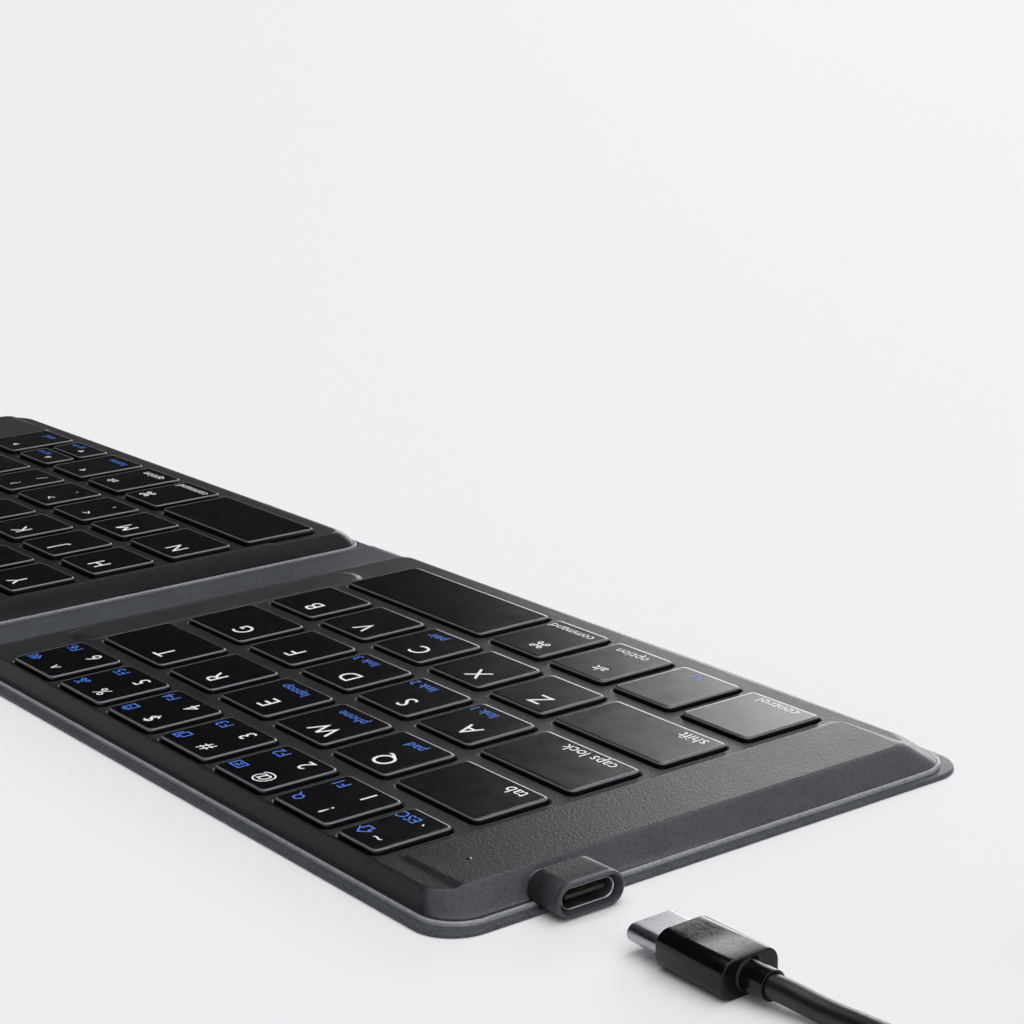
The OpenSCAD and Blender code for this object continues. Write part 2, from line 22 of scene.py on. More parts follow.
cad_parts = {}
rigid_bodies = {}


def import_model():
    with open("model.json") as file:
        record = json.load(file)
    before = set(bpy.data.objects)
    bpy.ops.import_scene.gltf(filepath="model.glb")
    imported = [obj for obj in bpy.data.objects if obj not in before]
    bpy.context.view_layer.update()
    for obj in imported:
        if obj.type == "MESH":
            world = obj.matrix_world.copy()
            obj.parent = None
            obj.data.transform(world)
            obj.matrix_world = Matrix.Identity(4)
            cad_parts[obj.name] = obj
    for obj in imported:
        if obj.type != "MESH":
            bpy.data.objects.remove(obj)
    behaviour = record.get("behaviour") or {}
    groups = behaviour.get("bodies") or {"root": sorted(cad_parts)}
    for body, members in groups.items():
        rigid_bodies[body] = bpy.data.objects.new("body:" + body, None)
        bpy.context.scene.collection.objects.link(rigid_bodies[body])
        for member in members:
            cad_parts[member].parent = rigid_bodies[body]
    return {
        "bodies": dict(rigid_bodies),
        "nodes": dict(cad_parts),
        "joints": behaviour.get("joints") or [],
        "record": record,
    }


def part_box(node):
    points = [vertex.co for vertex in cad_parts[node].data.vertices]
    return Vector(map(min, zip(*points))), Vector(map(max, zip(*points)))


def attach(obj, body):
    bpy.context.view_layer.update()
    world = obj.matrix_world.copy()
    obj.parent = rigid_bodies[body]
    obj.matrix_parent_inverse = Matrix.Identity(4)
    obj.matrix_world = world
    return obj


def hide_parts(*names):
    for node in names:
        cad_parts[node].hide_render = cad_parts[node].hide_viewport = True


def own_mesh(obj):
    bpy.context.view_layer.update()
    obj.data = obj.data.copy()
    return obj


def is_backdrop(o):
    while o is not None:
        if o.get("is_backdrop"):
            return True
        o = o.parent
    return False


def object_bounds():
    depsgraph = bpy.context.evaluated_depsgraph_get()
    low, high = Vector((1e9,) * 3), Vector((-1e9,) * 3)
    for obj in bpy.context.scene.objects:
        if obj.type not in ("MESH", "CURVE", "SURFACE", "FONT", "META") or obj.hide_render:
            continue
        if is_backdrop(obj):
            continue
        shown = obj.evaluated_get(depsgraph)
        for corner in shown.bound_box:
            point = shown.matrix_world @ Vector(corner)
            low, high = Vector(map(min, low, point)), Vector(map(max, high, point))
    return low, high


LOG = logging.getLogger("keyboard")
MM = 0.001
Radii = tuple[float, float, float, float]
Profile = Sequence[tuple[float, float]]
Socket = bpy.types.NodeSocket
Inputs = Sequence[object] | dict[str | int, object]


class Half(Enum):
    """The two halves of the case; the value is the sign of X on that half."""

    LEFT = -1
    RIGHT = 1

    @property
    def prefix(self) -> str:
        """The first word of this half's node names."""
        return self.name.lower()

    @property
    def body(self) -> str:
        """The CAD body that this half's fixed pieces ride on."""
        return f"{self.prefix}_half"


# ---------------------------------------------------------------- numbers and outlines


def smooth(t: np.ndarray | float) -> np.ndarray:
    """Rises from 0 to 1 with no slope at either end: three times t squared, less twice t cubed.

    Args:
        t: Values to map; below 0 gives 0, above 1 gives 1.

    Returns:
        The mapped values.
    """
    t = np.clip(t, 0.0, 1.0)
    return t * t * (3.0 - 2.0 * t)


def points_of(mesh: bpy.types.Mesh) -> np.ndarray:
    """Reads a mesh's points.

    Args:
        mesh: The mesh.

    Returns:
        Its points in the mesh's own units, N by 3.
    """
    flat = np.empty(len(mesh.vertices) * 3)
    mesh.vertices.foreach_get("co", flat)
    return flat.reshape(-1, 3)


def with_height(outline: np.ndarray, z: np.ndarray | float) -> np.ndarray:
    """Adds a height, or one for each point, to plan points."""
    return np.column_stack([outline, np.broadcast_to(z, len(outline))])


@dataclass(frozen=True)
class Extent:
    """A box in millimetres."""

    low: np.ndarray
    high: np.ndarray

    @classmethod
    def of(cls, node: str) -> Extent:
        """Gives the box of a CAD node at rest."""
        low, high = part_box(node)
        return cls(np.array(low) / MM, np.array(high) / MM)

    @property
    def size(self) -> np.ndarray:
        """The box's lengths along X, Y and Z."""
        return self.high - self.low


@dataclass(frozen=True)
class Sampling:
    """How many segments an outline has: on each straight along X and along Y, and on each corner.

    ease, from 0 to 1, draws the points of a straight towards its ends.
    """

    along_x: int
    along_y: int
    arc: int
    ease: float = 0.0

    def shares(self, count: int) -> np.ndarray:
        """Gives the places of a straight's points, as shares of its length, without the last."""
        t = np.arange(count) / count
        return t - self.ease * np.sin(2 * np.pi * t) / (2 * np.pi)


@dataclass(frozen=True)
class Plan:
    """A rectangle with its own radius at each corner.

    Outlines run counter-clockwise from the right side's front end, so two plans with one
    sampling have points that belong together. Radii are rear right, rear left, front left
    and front right.
    """

    x0: float
    x1: float
    y0: float
    y1: float
    radii: Radii

    @classmethod
    def of(cls, low: Sequence[float], high: Sequence[float], radii: Radii) -> Plan:
        """Gives the plan of a box between two corners."""
        return cls(low[0], high[0], low[1], high[1], radii)

    def inset(self, left: float, right: float, front: float, rear: float,
              radii: Radii | None = None) -> Plan:
        """Moves each side inwards.

        Args:
            left: How far the left side moves.
            right: How far the right side moves.
            front: How far the front side moves.
            rear: How far the rear side moves.
            radii: The new corner radii; otherwise each shrinks by its sides' mean move.

        Returns:
            The smaller plan.
        """
        if radii is None:
            moves = ((right + rear) / 2, (left + rear) / 2, (left + front) / 2, (right + front) / 2)
            radii = tuple(max(r - m, 0.02) for r, m in zip(self.radii, moves))
        return Plan(self.x0 + left, self.x1 - right, self.y0 + front, self.y1 - rear, radii)

    def shrunk(self, by: float) -> Plan:
        """Moves every side inwards by one distance."""
        return self.inset(by, by, by, by)

    def outline(self, sampling: Sampling) -> np.ndarray:
        """Gives the outline.

        A corner's point is its centre plus its radius times the cosine and the sine of the
        angle, which grows by a quarter turn over the corner's segments.

        Args:
            sampling: The outline's segments.

        Returns:
            Its points, N by 2.
        """
        corners = ((self.x1, self.y1), (self.x0, self.y1), (self.x0, self.y0), (self.x1, self.y0))
        inward = ((-1, -1), (1, -1), (1, 1), (-1, 1))
        arcs = []
        for n, ((x, y), (dx, dy), r) in enumerate(zip(corners, inward, self.radii)):
            turn = (n + np.arange(sampling.arc + 1) / sampling.arc) * np.pi / 2
            centre = np.array([x + dx * r, y + dy * r])
            arcs.append(centre + r * np.column_stack([np.cos(turn), np.sin(turn)]))
        parts = []
        for n, arc_points in enumerate(arcs):
            start, end = arcs[n - 1][-1], arc_points[0]
            share = sampling.shares(sampling.along_y if n % 2 == 0 else sampling.along_x)
            parts += [start + (end - start) * share[:, None], arc_points[:-1]]
        return np.vstack(parts)

    def ring(self, inset: float, z: float, sampling: Sampling) -> np.ndarray:
        """Gives the outline of the plan shrunk by an inset, at one height, N by 3."""
        return with_height(self.shrunk(inset).outline(sampling), z)

    def distance(self, x: np.ndarray, y: np.ndarray) -> np.ndarray:
        """Gives how far points lie outside the plan, with its first radius at every corner.

        Outside a corner that is the distance from the corner's centre less the radius, and
        elsewhere the distance from the nearest side, which is below 0 inside.

        Args:
            x: The points' places along X.
            y: The same along Y.

        Returns:
            The distances.
        """
        r = self.radii[0]
        dx = np.abs(x - (self.x0 + self.x1) / 2) - (self.x1 - self.x0) / 2 + r
        dy = np.abs(y - (self.y0 + self.y1) / 2) - (self.y1 - self.y0) / 2 + r
        outside = np.hypot(np.maximum(dx, 0), np.maximum(dy, 0))
        return outside + np.minimum(np.maximum(dx, dy), 0) - r


# ---------------------------------------------------------------- meshes


class MeshBuilder:
    """Collects a piece's points and faces in millimetres, and makes the object."""

    def __init__(self) -> None:
        """Begins a piece without points."""
        self.points: list[np.ndarray] = []
        self.faces: list[list[int]] = []
        self.slots: list[int] = []
        self.count = 0

    def add(self, points: np.ndarray, faces: np.ndarray | list[list[int]], slot: int = 0) -> None:
        """Adds points and the faces on them.

        Args:
            points: N by 3.
            faces: Each face's corners, counted from the first of these points.
            slot: The material slot of the faces.
        """
        if isinstance(faces, np.ndarray):
            added = (faces + self.count).tolist()
        else:
            added = [[self.count + i for i in face] for face in faces]
        self.points.append(np.asarray(points, float))
        self.faces += added
        self.slots += [slot] * len(added)
        self.count += len(points)

    def rings(self, rings: Sequence[np.ndarray], slot: int = 0,
              keep: np.ndarray | None = None) -> None:
        """Joins closed rings of equal length by quads.

        The quad between ring i and i + 1 at point j has corners (i, j), (i, j + 1),
        (i + 1, j + 1) and (i + 1, j), so rings that run counter-clockwise and go up or
        inwards give faces that look outwards.

        Args:
            rings: Each N by 3.
            slot: The material slot.
            keep: Which quads are made, one flag each, or None for all.
        """
        grid = np.stack(rings)
        m, n, _ = grid.shape
        i, j = np.meshgrid(np.arange(m - 1), np.arange(n), indexing="ij")
        k = (j + 1) % n
        quads = np.stack([i * n + j, i * n + k, (i + 1) * n + k, (i + 1) * n + j], -1).reshape(-1, 4)
        self.add(grid.reshape(-1, 3), quads if keep is None else quads[keep], slot)

    def cap(self, ring: np.ndarray, slot: int = 0, up: bool = True) -> None:
        """Closes a ring with one face that looks up, or down."""
        order = list(range(len(ring)))
        self.add(ring, [order if up else order[::-1]], slot)

    def build(self, name: str, finishes: Sequence[Finish], sharp: float = 40.0) -> bpy.types.Object:
        """Makes the object.

        Args:
            name: The object's name.
            finishes: One for each slot.
            sharp: The angle, in degrees, above which an edge isn't shaded smooth.

        Returns:
            The object, linked to the scene, with points that coincide joined.
        """
        mesh = bpy.data.meshes.new(name)
        mesh.from_pydata((np.vstack(self.points) * MM).tolist(), [], self.faces)
        mesh.polygons.foreach_set("material_index", self.slots)
        for finish in finishes:
            mesh.materials.append(material_of(finish))
        join_doubles(mesh)
        mesh.shade_smooth()
        mesh.set_sharp_from_angle(angle=math.radians(sharp))
        mesh.update()
        return linked(name, mesh)


def linked(name: str, data: bpy.types.ID) -> bpy.types.Object:
    """Makes an object and links it to the scene.

    Args:
        name: The object's name.
        data: Its mesh, curve or camera.

    Returns:
        The object.
    """
    obj = bpy.data.objects.new(name, data)
    bpy.context.scene.collection.objects.link(obj)
    return obj


def join_doubles(mesh: bpy.types.Mesh) -> None:
    """Joins a mesh's points that are less than a thousandth of a millimetre apart.

    Args:
        mesh: The mesh, which also loses its faces without an area.
    """
    near = 0.001 * MM
    work = bmesh.new()
    work.from_mesh(mesh)
    bmesh.ops.remove_doubles(work, verts=work.verts, dist=near)
    bmesh.ops.dissolve_degenerate(work, edges=work.edges, dist=near / 10)
    work.to_mesh(mesh)
    work.free()


def mounted(piece: bpy.types.Object, body: str, slot: str, *nodes: str) -> bpy.types.Object:
    """Makes a piece ride with a body, and hides the CAD nodes that it stands for.

    Args:
        piece: The piece.
        body: The body.
        slot: Not used.
        nodes: The CAD nodes that the piece stands for, if any.

    Returns:
        The piece.
    """
    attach(piece, body)
    if nodes:
        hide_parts(*nodes)
    return piece


@dataclass(frozen=True)
class Contour:
    """One ring of a rounded block: how far in from its plan, and how high."""

    inset: float
    z: float


def fillet(z: float, radius: float, segments: int, top: bool = True) -> list[Contour]:
    """Gives the rings of a rounded edge.

    A ring's inset is the radius times one less the cosine of its angle, and its height
    the radius times the sine, measured from where the round begins.

    Args:
        z: The height of the edge without its round.
        radius: The round's radius.
        segments: How many rings follow the first.
        top: Whether the round ends a wall that goes up, or begins one at its foot.

    Returns:
        The rings, from the lowest to the highest.
    """
    side = -1 if top else 1
    turn = np.linspace(0, np.pi / 2, segments + 1)[::-side]
    return [Contour(radius * (1 - math.cos(a)), z + side * radius * (1 - math.sin(a))) for a in turn]


def block(builder: MeshBuilder, plan: Plan, contours: Sequence[Contour], sampling: Sampling,
          floor: bool = True) -> None:
    """Adds a block made of insets of one plan.

    Args:
        builder: Where it goes.
        plan: The widest outline.
        contours: From the lowest to the highest.
        sampling: The outline's segments.
        floor: Whether the lowest ring is closed, as the highest is.
    """
    rings = [plan.ring(c.inset, c.z, sampling) for c in contours]
    builder.rings(rings)
    if floor:
        builder.cap(rings[0], up=False)
    builder.cap(rings[-1])


# ---------------------------------------------------------------- finishes


# The numbers of a Mix node's sockets when it mixes colours
MIX_FACTOR, MIX_A, MIX_B, MIX_RESULT = 0, 6, 7, 2
# The range in which nearly all of a noise texture's values lie
NOISE_RANGE = (0.3, 0.7)


def shaded(hex_colour: str, gain: float = 1.0, lift: float = 0.0) -> tuple[float, ...]:
    """Turns an sRGB colour into linear red, green, blue and alpha, lighter or darker.

    A channel c becomes ((c + 0.055) / 1.055) to the power 2.4, or c / 12.92 where c is at
    most 0.04045. It is then multiplied by the gain and raised by the lift, to 1 at most.

    Args:
        hex_colour: The colour, such as #808080.
        gain: The factor for each linear channel.
        lift: What is added to each linear channel.

    Returns:
        The colour as a shader takes it.
    """
    channels = []
    for n in (1, 3, 5):
        c = int(hex_colour[n:n + 2], 16) / 255
        channels.append(c / 12.92 if c <= 0.04045 else ((c + 0.055) / 1.055) ** 2.4)
    return *(min(1.0, c * gain + lift) for c in channels), 1.0


def feed(tree: bpy.types.NodeTree, node: bpy.types.Node, inputs: Inputs) -> None:
    """Gives a node's inputs their values, or links the sockets that feed them.

    Args:
        tree: The tree that holds the node.
        node: The node.
        inputs: Values or sockets, in the inputs' order, or by the inputs' names or numbers.
    """
    for key, value in inputs.items() if isinstance(inputs, dict) else enumerate(inputs):
        if isinstance(value, bpy.types.NodeSocket):
            tree.links.new(value, node.inputs[key])
        else:
            node.inputs[key].default_value = value


def add_node(tree: bpy.types.NodeTree, kind: str, inputs: Inputs = (),
             **settings: object) -> bpy.types.NodeOutputs:
    """Adds a node with its settings and links.

    Args:
        tree: The tree that it joins.
        kind: The node's type, without its ShaderNode prefix.
        inputs: Its inputs' values, or the sockets that feed them.
        settings: The node's own properties.

    Returns:
        The node's outputs.
    """
    node = tree.nodes.new(f"ShaderNode{kind}")
    for key, value in settings.items():
        setattr(node, key, value)
    feed(tree, node, inputs)
    return node.outputs


class Shader:
    """A material under construction: a Principled surface and the nodes that feed it."""

    def __init__(self, name: str) -> None:
        """Makes a material with a plain surface.

        Args:
            name: The material's name.
        """
        self.material = bpy.data.materials.new(name)
        self.material.use_nodes = True
        self.tree = self.material.node_tree
        self.add = functools.partial(add_node, self.tree)

    @functools.cached_property
    def place(self) -> Socket:
        """The surface point's place in metres."""
        return self.add("TexCoord")["Object"]

    def scaled(self, size_mm: float, **inputs: float) -> dict[str, object]:
        """Gives a texture's inputs for features about size_mm millimetres across."""
        return {"Vector": self.place, "Scale": 1 / (size_mm * MM), **inputs}

    def finish(self, inputs: dict[str, object], *relief: tuple[Socket, float]) -> None:
        """Feeds the surface.

        Args:
            inputs: Its inputs by name.
            relief: Each a height from 0 to 1, and what 1 stands for in millimetres.
        """
        height: Socket | None = None
        for value, depth in relief:
            layer = self.add("Math", [value, depth * MM], operation="MULTIPLY")[0]
            height = layer if height is None else self.add("Math", [height, layer],
                                                           operation="ADD")[0]
        if height is not None:
            bump = self.add("Bump", {"Strength": 1.0, "Distance": 1.0, "Height": height})
            inputs = inputs | {"Normal": bump["Normal"]}
        feed(self.tree, self.tree.nodes["Principled BSDF"], inputs)


@dataclass(frozen=True)
class Finish:
    """What a surface is made of; as it stands, matt paint of one colour."""

    name: str
    base: str

    def dress(self, shader: Shader) -> None:
        """Feeds the shader's surface."""
        shader.finish({"Base Color": shaded(self.base), "Roughness": 0.85,
                       "Specular IOR Level": 0.1})


@functools.cache
def material_of(finish: Finish) -> bpy.types.Material:
    """Makes a finish's material the first time that it is asked for.

    Args:
        finish: The finish.

    Returns:
        Its material, one for all the pieces that have it.
    """
    shader = Shader(finish.name)
    finish.dress(shader)
    return shader.material


@dataclass(frozen=True)
class Leather(Finish):
    """Embossed synthetic leather: fine pebbles, darker pores and a slow change of tone.

    The pebbles of such leather are 0.2 to 0.4 mm wide. The last field is the gain of a painted
    highlight: the leather is painted lighter on the slopes at a half's end, where light falls.
    """

    pore: str
    grain_mm: float = 0.36
    depth_mm: float = 0.03
    roughness: float = 0.32
    specular: float = 0.1
    stretched: float = 1.0

    def dress(self, shader: Shader) -> None:
        """Feeds the shader's surface.

        The pores are the outer parts of the pebbles' cells, and each relief is a share of
        the pebbles' depth.

        Args:
            shader: The material under construction.
        """
        add = shader.add
        pebble = add("TexVoronoi", shader.scaled(self.grain_mm), feature="SMOOTH_F1")["Distance"]
        fine = add("TexNoise", shader.scaled(self.grain_mm * 0.35, Detail=3.0))["Fac"]
        tone = add("TexNoise", shader.scaled(9.0, Detail=3.0))["Fac"]
        dent = add("TexNoise", shader.scaled(1.6))["Fac"]
        pore = add("MapRange", [pebble, 0.25, 0.75, 0.0, 1.0])[0]
        colour = add("Mix", {MIX_FACTOR: pore, MIX_A: shaded(self.base), MIX_B: shaded(self.pore)},
                     data_type="RGBA")[MIX_RESULT]
        shade = add("MapRange", [tone, *NOISE_RANGE, 0.9, 1.1])[0]
        # Painted highlight: the slopes at the ends are made lighter.
        if self.stretched > 1.0:
            shade = add("Math", [shade, self.pull(shader)], operation="MULTIPLY")[0]
        colour = add("HueSaturation", {"Color": colour, "Value": shade})["Color"]
        grit = add("MapRange", [fine, *NOISE_RANGE, -0.05, 0.06])[0]
        gloss = add("MapRange", [tone, *NOISE_RANGE, self.roughness - 0.03, self.roughness + 0.03])[0]
        rough = add("Math", [grit, gloss], operation="ADD")[0]
        dome = add("Math", [1.0, pebble], operation="SUBTRACT")[0]
        shader.finish({"Base Color": colour, "Roughness": rough,
                       "Specular IOR Level": self.specular},
                      (dome, self.depth_mm), (fine, self.depth_mm * 0.25),
                      (dent, self.depth_mm * 0.5))

    def pull(self, shader: Shader) -> Socket:
        """Gives the gain of the painted highlight on the slopes at a half's end.

        It grows from 1 to the highlight's full gain with the product of two shares: how far the
        surface tilts along X, and how near it is to the end.

        Args:
            shader: The material under construction.

        Returns:
            The gain.
        """
        add = shader.add
        shares = []
        for output, low, high in (("Normal", 0.1, 0.35), ("Object", 128.0 * MM, 134.0 * MM)):
            along = add("SeparateXYZ", [add("TexCoord")[output]])["X"]
            size = add("Math", [along], operation="ABSOLUTE")[0]
            shares.append(add("MapRange", [size, low, high, 0.0, 1.0])[0])
        highlight_share = add("Math", shares, operation="MULTIPLY")[0]
        return add("MapRange", [highlight_share, 0.0, 1.0, 1.0, self.stretched])[0]


@dataclass(frozen=True)
class Plastic(Finish):
    """Moulded plastic with the fine texture of a spark-eroded mould.

    The real texture is 0.03 to 0.1 mm wide, too fine to show, so it is drawn coarser.
    """

    roughness: float = 0.45
    texture_mm: float = 0.14
    depth_mm: float = 0.006
    specular: float = 0.5
    speck: float = 0.25
    coat: float = 0.0

    def dress(self, shader: Shader) -> None:
        """Feeds the shader's surface.

        Args:
            shader: The material under construction.
        """
        add = shader.add
        grain = add("TexNoise", shader.scaled(self.texture_mm, Detail=3.0, Roughness=0.6))["Fac"]
        worn = add("TexNoise", shader.scaled(4.0, Detail=3.0))["Fac"]
        high = add("MapRange", [grain, 0.35, 0.65, 0.0, 1.0])[0]
        colour = add("Mix", {MIX_FACTOR: high, MIX_A: shaded(self.base, 1 - self.speck),
                             MIX_B: shaded(self.base, 1 + self.speck, 0.002 * self.speck)},
                     data_type="RGBA")[MIX_RESULT]
        grit = add("MapRange", [grain, *NOISE_RANGE, -0.06, 0.06])[0]
        gloss = add("MapRange", [worn, *NOISE_RANGE, self.roughness - 0.01, self.roughness + 0.015])[0]
        rough = add("Math", [grit, gloss], operation="ADD")[0]
        shader.finish({"Base Color": colour, "Roughness": rough,
                       "Specular IOR Level": self.specular, "Coat Weight": self.coat,
                       "Coat Roughness": 0.08},
                      (grain, self.depth_mm), (worn, self.depth_mm * 0.2))


@dataclass(frozen=True)
class Metal(Finish):
    """Rolled or drawn sheet metal, with draw lines about 0.08 mm apart and faint smudges.

    along is how much the lines are squeezed along each axis: well below 1 along their run.
    """

    roughness: float = 0.25
    along: tuple[float, float, float] = (0.06, 1.0, 1.0)

    def dress(self, shader: Shader) -> None:
        """Feeds the shader's surface.

        Args:
            shader: The material under construction.
        """
        add = shader.add
        drawn = add("Mapping", {"Vector": shader.place, "Scale": self.along})["Vector"]
        lines = add("TexNoise", shader.scaled(0.08) | {"Vector": drawn})["Fac"]
        smudge = add("TexNoise", shader.scaled(2.5, Detail=3.0))["Fac"]
        grit = add("MapRange", [lines, *NOISE_RANGE, -0.05, 0.06])[0]
        gloss = add("MapRange", [smudge, 0.35, 0.7, self.roughness - 0.02,
                                 self.roughness + 0.04])[0]
        rough = add("Math", [grit, gloss], operation="ADD")[0]
        shade = add("MapRange", [smudge, *NOISE_RANGE, 0.96, 1.03])[0]
        colour = add("HueSaturation", {"Color": shaded(self.base), "Value": shade})["Color"]
        shader.finish({"Base Color": colour, "Metallic": 1.0, "Roughness": rough}, (lines, 0.003))


@dataclass(frozen=True)
class Ink(Finish):
    """Pad-printed ink, thinner where the texture below it stands up."""

    def dress(self, shader: Shader) -> None:
        """Feeds the shader's surface.

        Args:
            shader: The material under construction.
        """
        add = shader.add
        grain = add("TexNoise", shader.scaled(0.14, Detail=3.0, Roughness=0.6))["Fac"]
        thick = add("MapRange", [grain, 0.35, 0.6, 0.0, 1.0])[0]
        colour = add("Mix", {MIX_FACTOR: thick, MIX_A: shaded(self.base, 0.8),
                             MIX_B: shaded(self.base)}, data_type="RGBA")[MIX_RESULT]
        shader.finish({"Base Color": colour, "Roughness": 0.5, "Specular IOR Level": 0.35},
                      (grain, 0.004))


@dataclass(frozen=True)
class Traces(Finish):
    """A film or board with printed lines, which run along X in some places and Y in others."""

    line: str
    pitch_mm: float
    share: float = 0.4
    roughness: float = 0.35
    shine: float = 0.6
    crossed: bool = True

    def dress(self, shader: Shader) -> None:
        """Feeds the shader's surface.

        A line lies where the place along one axis, divided by the pitch, has a fraction
        below the lines' share.

        Args:
            shader: The material under construction.
        """
        add = shader.add
        axes = add("SeparateXYZ", [shader.place])
        lines = []
        for axis in ("Y", "X"):
            turns = add("Math", [axes[axis], self.pitch_mm * MM], operation="DIVIDE")[0]
            turn = add("Math", [turns], operation="FRACT")[0]
            lines.append(add("Math", [turn, self.share], operation="LESS_THAN")[0])
        mask = lines[0]
        if self.crossed:
            field = add("TexNoise", shader.scaled(self.pitch_mm * 9, Detail=0.0))["Fac"]
            turned = add("Math", [field, 0.5], operation="GREATER_THAN")[0]
            along_x = add("Math", [1.0, turned], operation="SUBTRACT")[0]
            kept = [add("Math", pair, operation="MULTIPLY")[0] for pair in
                    ((lines[0], along_x), (lines[1], turned))]
            mask = add("Math", kept, operation="ADD")[0]
        tone = add("TexNoise", shader.scaled(3.0, Detail=3.0))["Fac"]
        shade = add("MapRange", [tone, *NOISE_RANGE, 0.85, 1.1])[0]
        colour = add("Mix", {MIX_FACTOR: mask, MIX_A: shaded(self.base), MIX_B: shaded(self.line)},
                     data_type="RGBA")[MIX_RESULT]
        colour = add("HueSaturation", {"Color": colour, "Value": shade})["Color"]
        film = add("TexNoise", shader.scaled(0.6, Detail=3.0))["Fac"]
        rough = add("MapRange", [film, *NOISE_RANGE, self.roughness - 0.06, self.roughness + 0.08])[0]
        metal = add("Math", [mask, self.shine], operation="MULTIPLY")[0]
        grain = add("TexNoise", shader.scaled(0.3))["Fac"]
        shader.finish({"Base Color": colour, "Roughness": rough, "Metallic": metal},
                      (mask, 0.02), (grain, 0.004))


# Embossed polyurethane leather over the shells: dull, with a soft light on each pebble, and
# painted lighter on the slopes at each end as a painted highlight
COVERING = Leather("embossed_leather", "#2b2c2e", "#242528", stretched=3.2)
# The same leather in a paler grey under the case and over the spine
UNDERSIDE = Leather("plain_leather", "#505357", "#3c3e42")
# The leather's rolled edge at the lip, painted pale as a painted highlight line, and a little glossier
WELT_PAINTED_HIGHLIGHT = Leather("pressed_welt", "#9a9ca0", "#7e8084", 0.3, 0.01, 0.26)
# Moulded ABS, smooth enough to mirror the sky as a soft grey
KEYCAP = Plastic("moulded_abs_keycap", "#0b0b0f", 0.165, texture_mm=0.26, depth_mm=0.0045,
                 speck=0.35)
# The facet round each cap's top, painted light grey as a painted highlight line
CAP_FACET_PAINTED_HIGHLIGHT = Plastic("polished_abs_rim", "#66676c", 0.3, speck=0.3)
# Black ABS in the wells between caps and deck: dead matt
WELL = Plastic("matt_abs_well", "#0c0c0e", 0.7, speck=0.2)
# White and blue pad-printing ink: flat, and a little soft at its edges
WHITE_INK = Ink("white_ink", "#f4f5f8")
BLUE_INK = Ink("blue_ink", "#3f74d8")
# Moulded ABS round the socket's mouth: a satin ring
BARREL = Plastic("moulded_abs_barrel", "#3a3c40", 0.42, specular=0.4)
# Drawn steel of the socket: bright, with fine lines along its run
SOCKET_STEEL = Metal("drawn_steel_socket", "#b4b6ba", 0.3)
# Moulded nylon of the tongue and of the plugs' inserts: black, with a dull sheen
TONGUE = Plastic("moulded_nylon_tongue", "#101012", 0.5)
# Gilt contacts: small warm glints on the tongue
CONTACT = Metal("gilt_contact", "#d9b66a", 0.25)
# Moulded PVC of the plug's grip: glossy and very dark
GRIP = Plastic("moulded_pvc_grip", "#0c0c0f", 0.17, texture_mm=0.5, depth_mm=0.003, speck=0.1,
               specular=0.26)
# Drawn steel of the plug: a shade darker than the socket's
PLUG_STEEL = Metal("drawn_steel_plug", "#a6a8ac", 0.3)
# The indicator's dark clear lens, with a lacquered shine
LENS = Plastic("clear_lens", "#0a0a0c", 0.15, coat=0.4)
# Extruded PVC of the cord: satin black
JACKET = Plastic("extruded_pvc_jacket", "#121216", 0.38, texture_mm=0.25, depth_mm=0.006, speck=0.15)
# Silicone rubber of the domes: milky white, and dull
RUBBER = Plastic("silicone_rubber", "#d9dad4", 0.55, 0.3, 0.01, 0.4, 0.06)
# Moulded acetal of the scissor links: dark grey, with a waxy sheen
ACETAL = Plastic("moulded_acetal", "#2a2b2d", 0.5, 0.2)
# Printed polyester film of the switch membrane: silver lines on milky white
MEMBRANE = Traces("membrane_film", "#c9ccd0", "#8d9094", 1.1, 0.3, 0.3, 0.7)
# Rolled steel of the support plates: grey, with fine lines along X
PLATE = Metal("rolled_steel_plate", "#8f9296", 0.34)
# Nickel-plated magnets: bright, brushed along Y
MAGNET = Metal("nickel_plated_magnet", "#b3b3b5", 0.18, (1.0, 0.1, 1.0))
# The cell's aluminised pouch: bright, with a slow change of sheen
POUCH = Metal("cell_pouch", "#c2c4c6", 0.3, (0.5, 0.5, 1.0))
# Solder mask over copper: green, with paler lines
BOARD = Traces("circuit_board", "#123a26", "#2c6b48", 0.5, 0.45, 0.4, 0.2)
# Polyimide ribbon: amber, with darker copper lines along it
RIBBON = Traces("ribbon_film", "#b9762a", "#7f4b1a", 0.6, 0.5, 0.3, 0.5, False)
# Matt white paint of the studio's floor: it takes soft shadows and mirrors nothing
FLOOR = Finish("matt_white_floor", "#eeeef0")


# ---------------------------------------------------------------- keys


KEY_RADIUS = 1.0
WINDOW_GAP = 0.35
# Two keys of a row or column stand more than KEY_GAPS[0] and less than KEY_GAPS[1] apart
KEY_GAPS = (1.0, 3.2)
KEY_NODES = {
    Half.LEFT: tuple(f"key_{name}" for name in (
        "tilde 1 2 3 4 5 6 tab q w e r t caps_lock a s d f g left_shift z x c v b "
        "control fn left_option left_command left_space").split()),
    Half.RIGHT: tuple(f"right_{name}_row_keys" for name in (
        "number", "upper", "home", "lower", "front"))}


@dataclass(frozen=True)
class Key:
    """One key: its plan, its heights, and the node and body that it belongs to."""

    plan: Plan
    foot: float
    top: float
    node: str

    @property
    def window(self) -> Plan:
        """The outline of the hole that the key stands in."""
        return self.plan.inset(*(-WINDOW_GAP,) * 4, (KEY_RADIUS + WINDOW_GAP,) * 4)


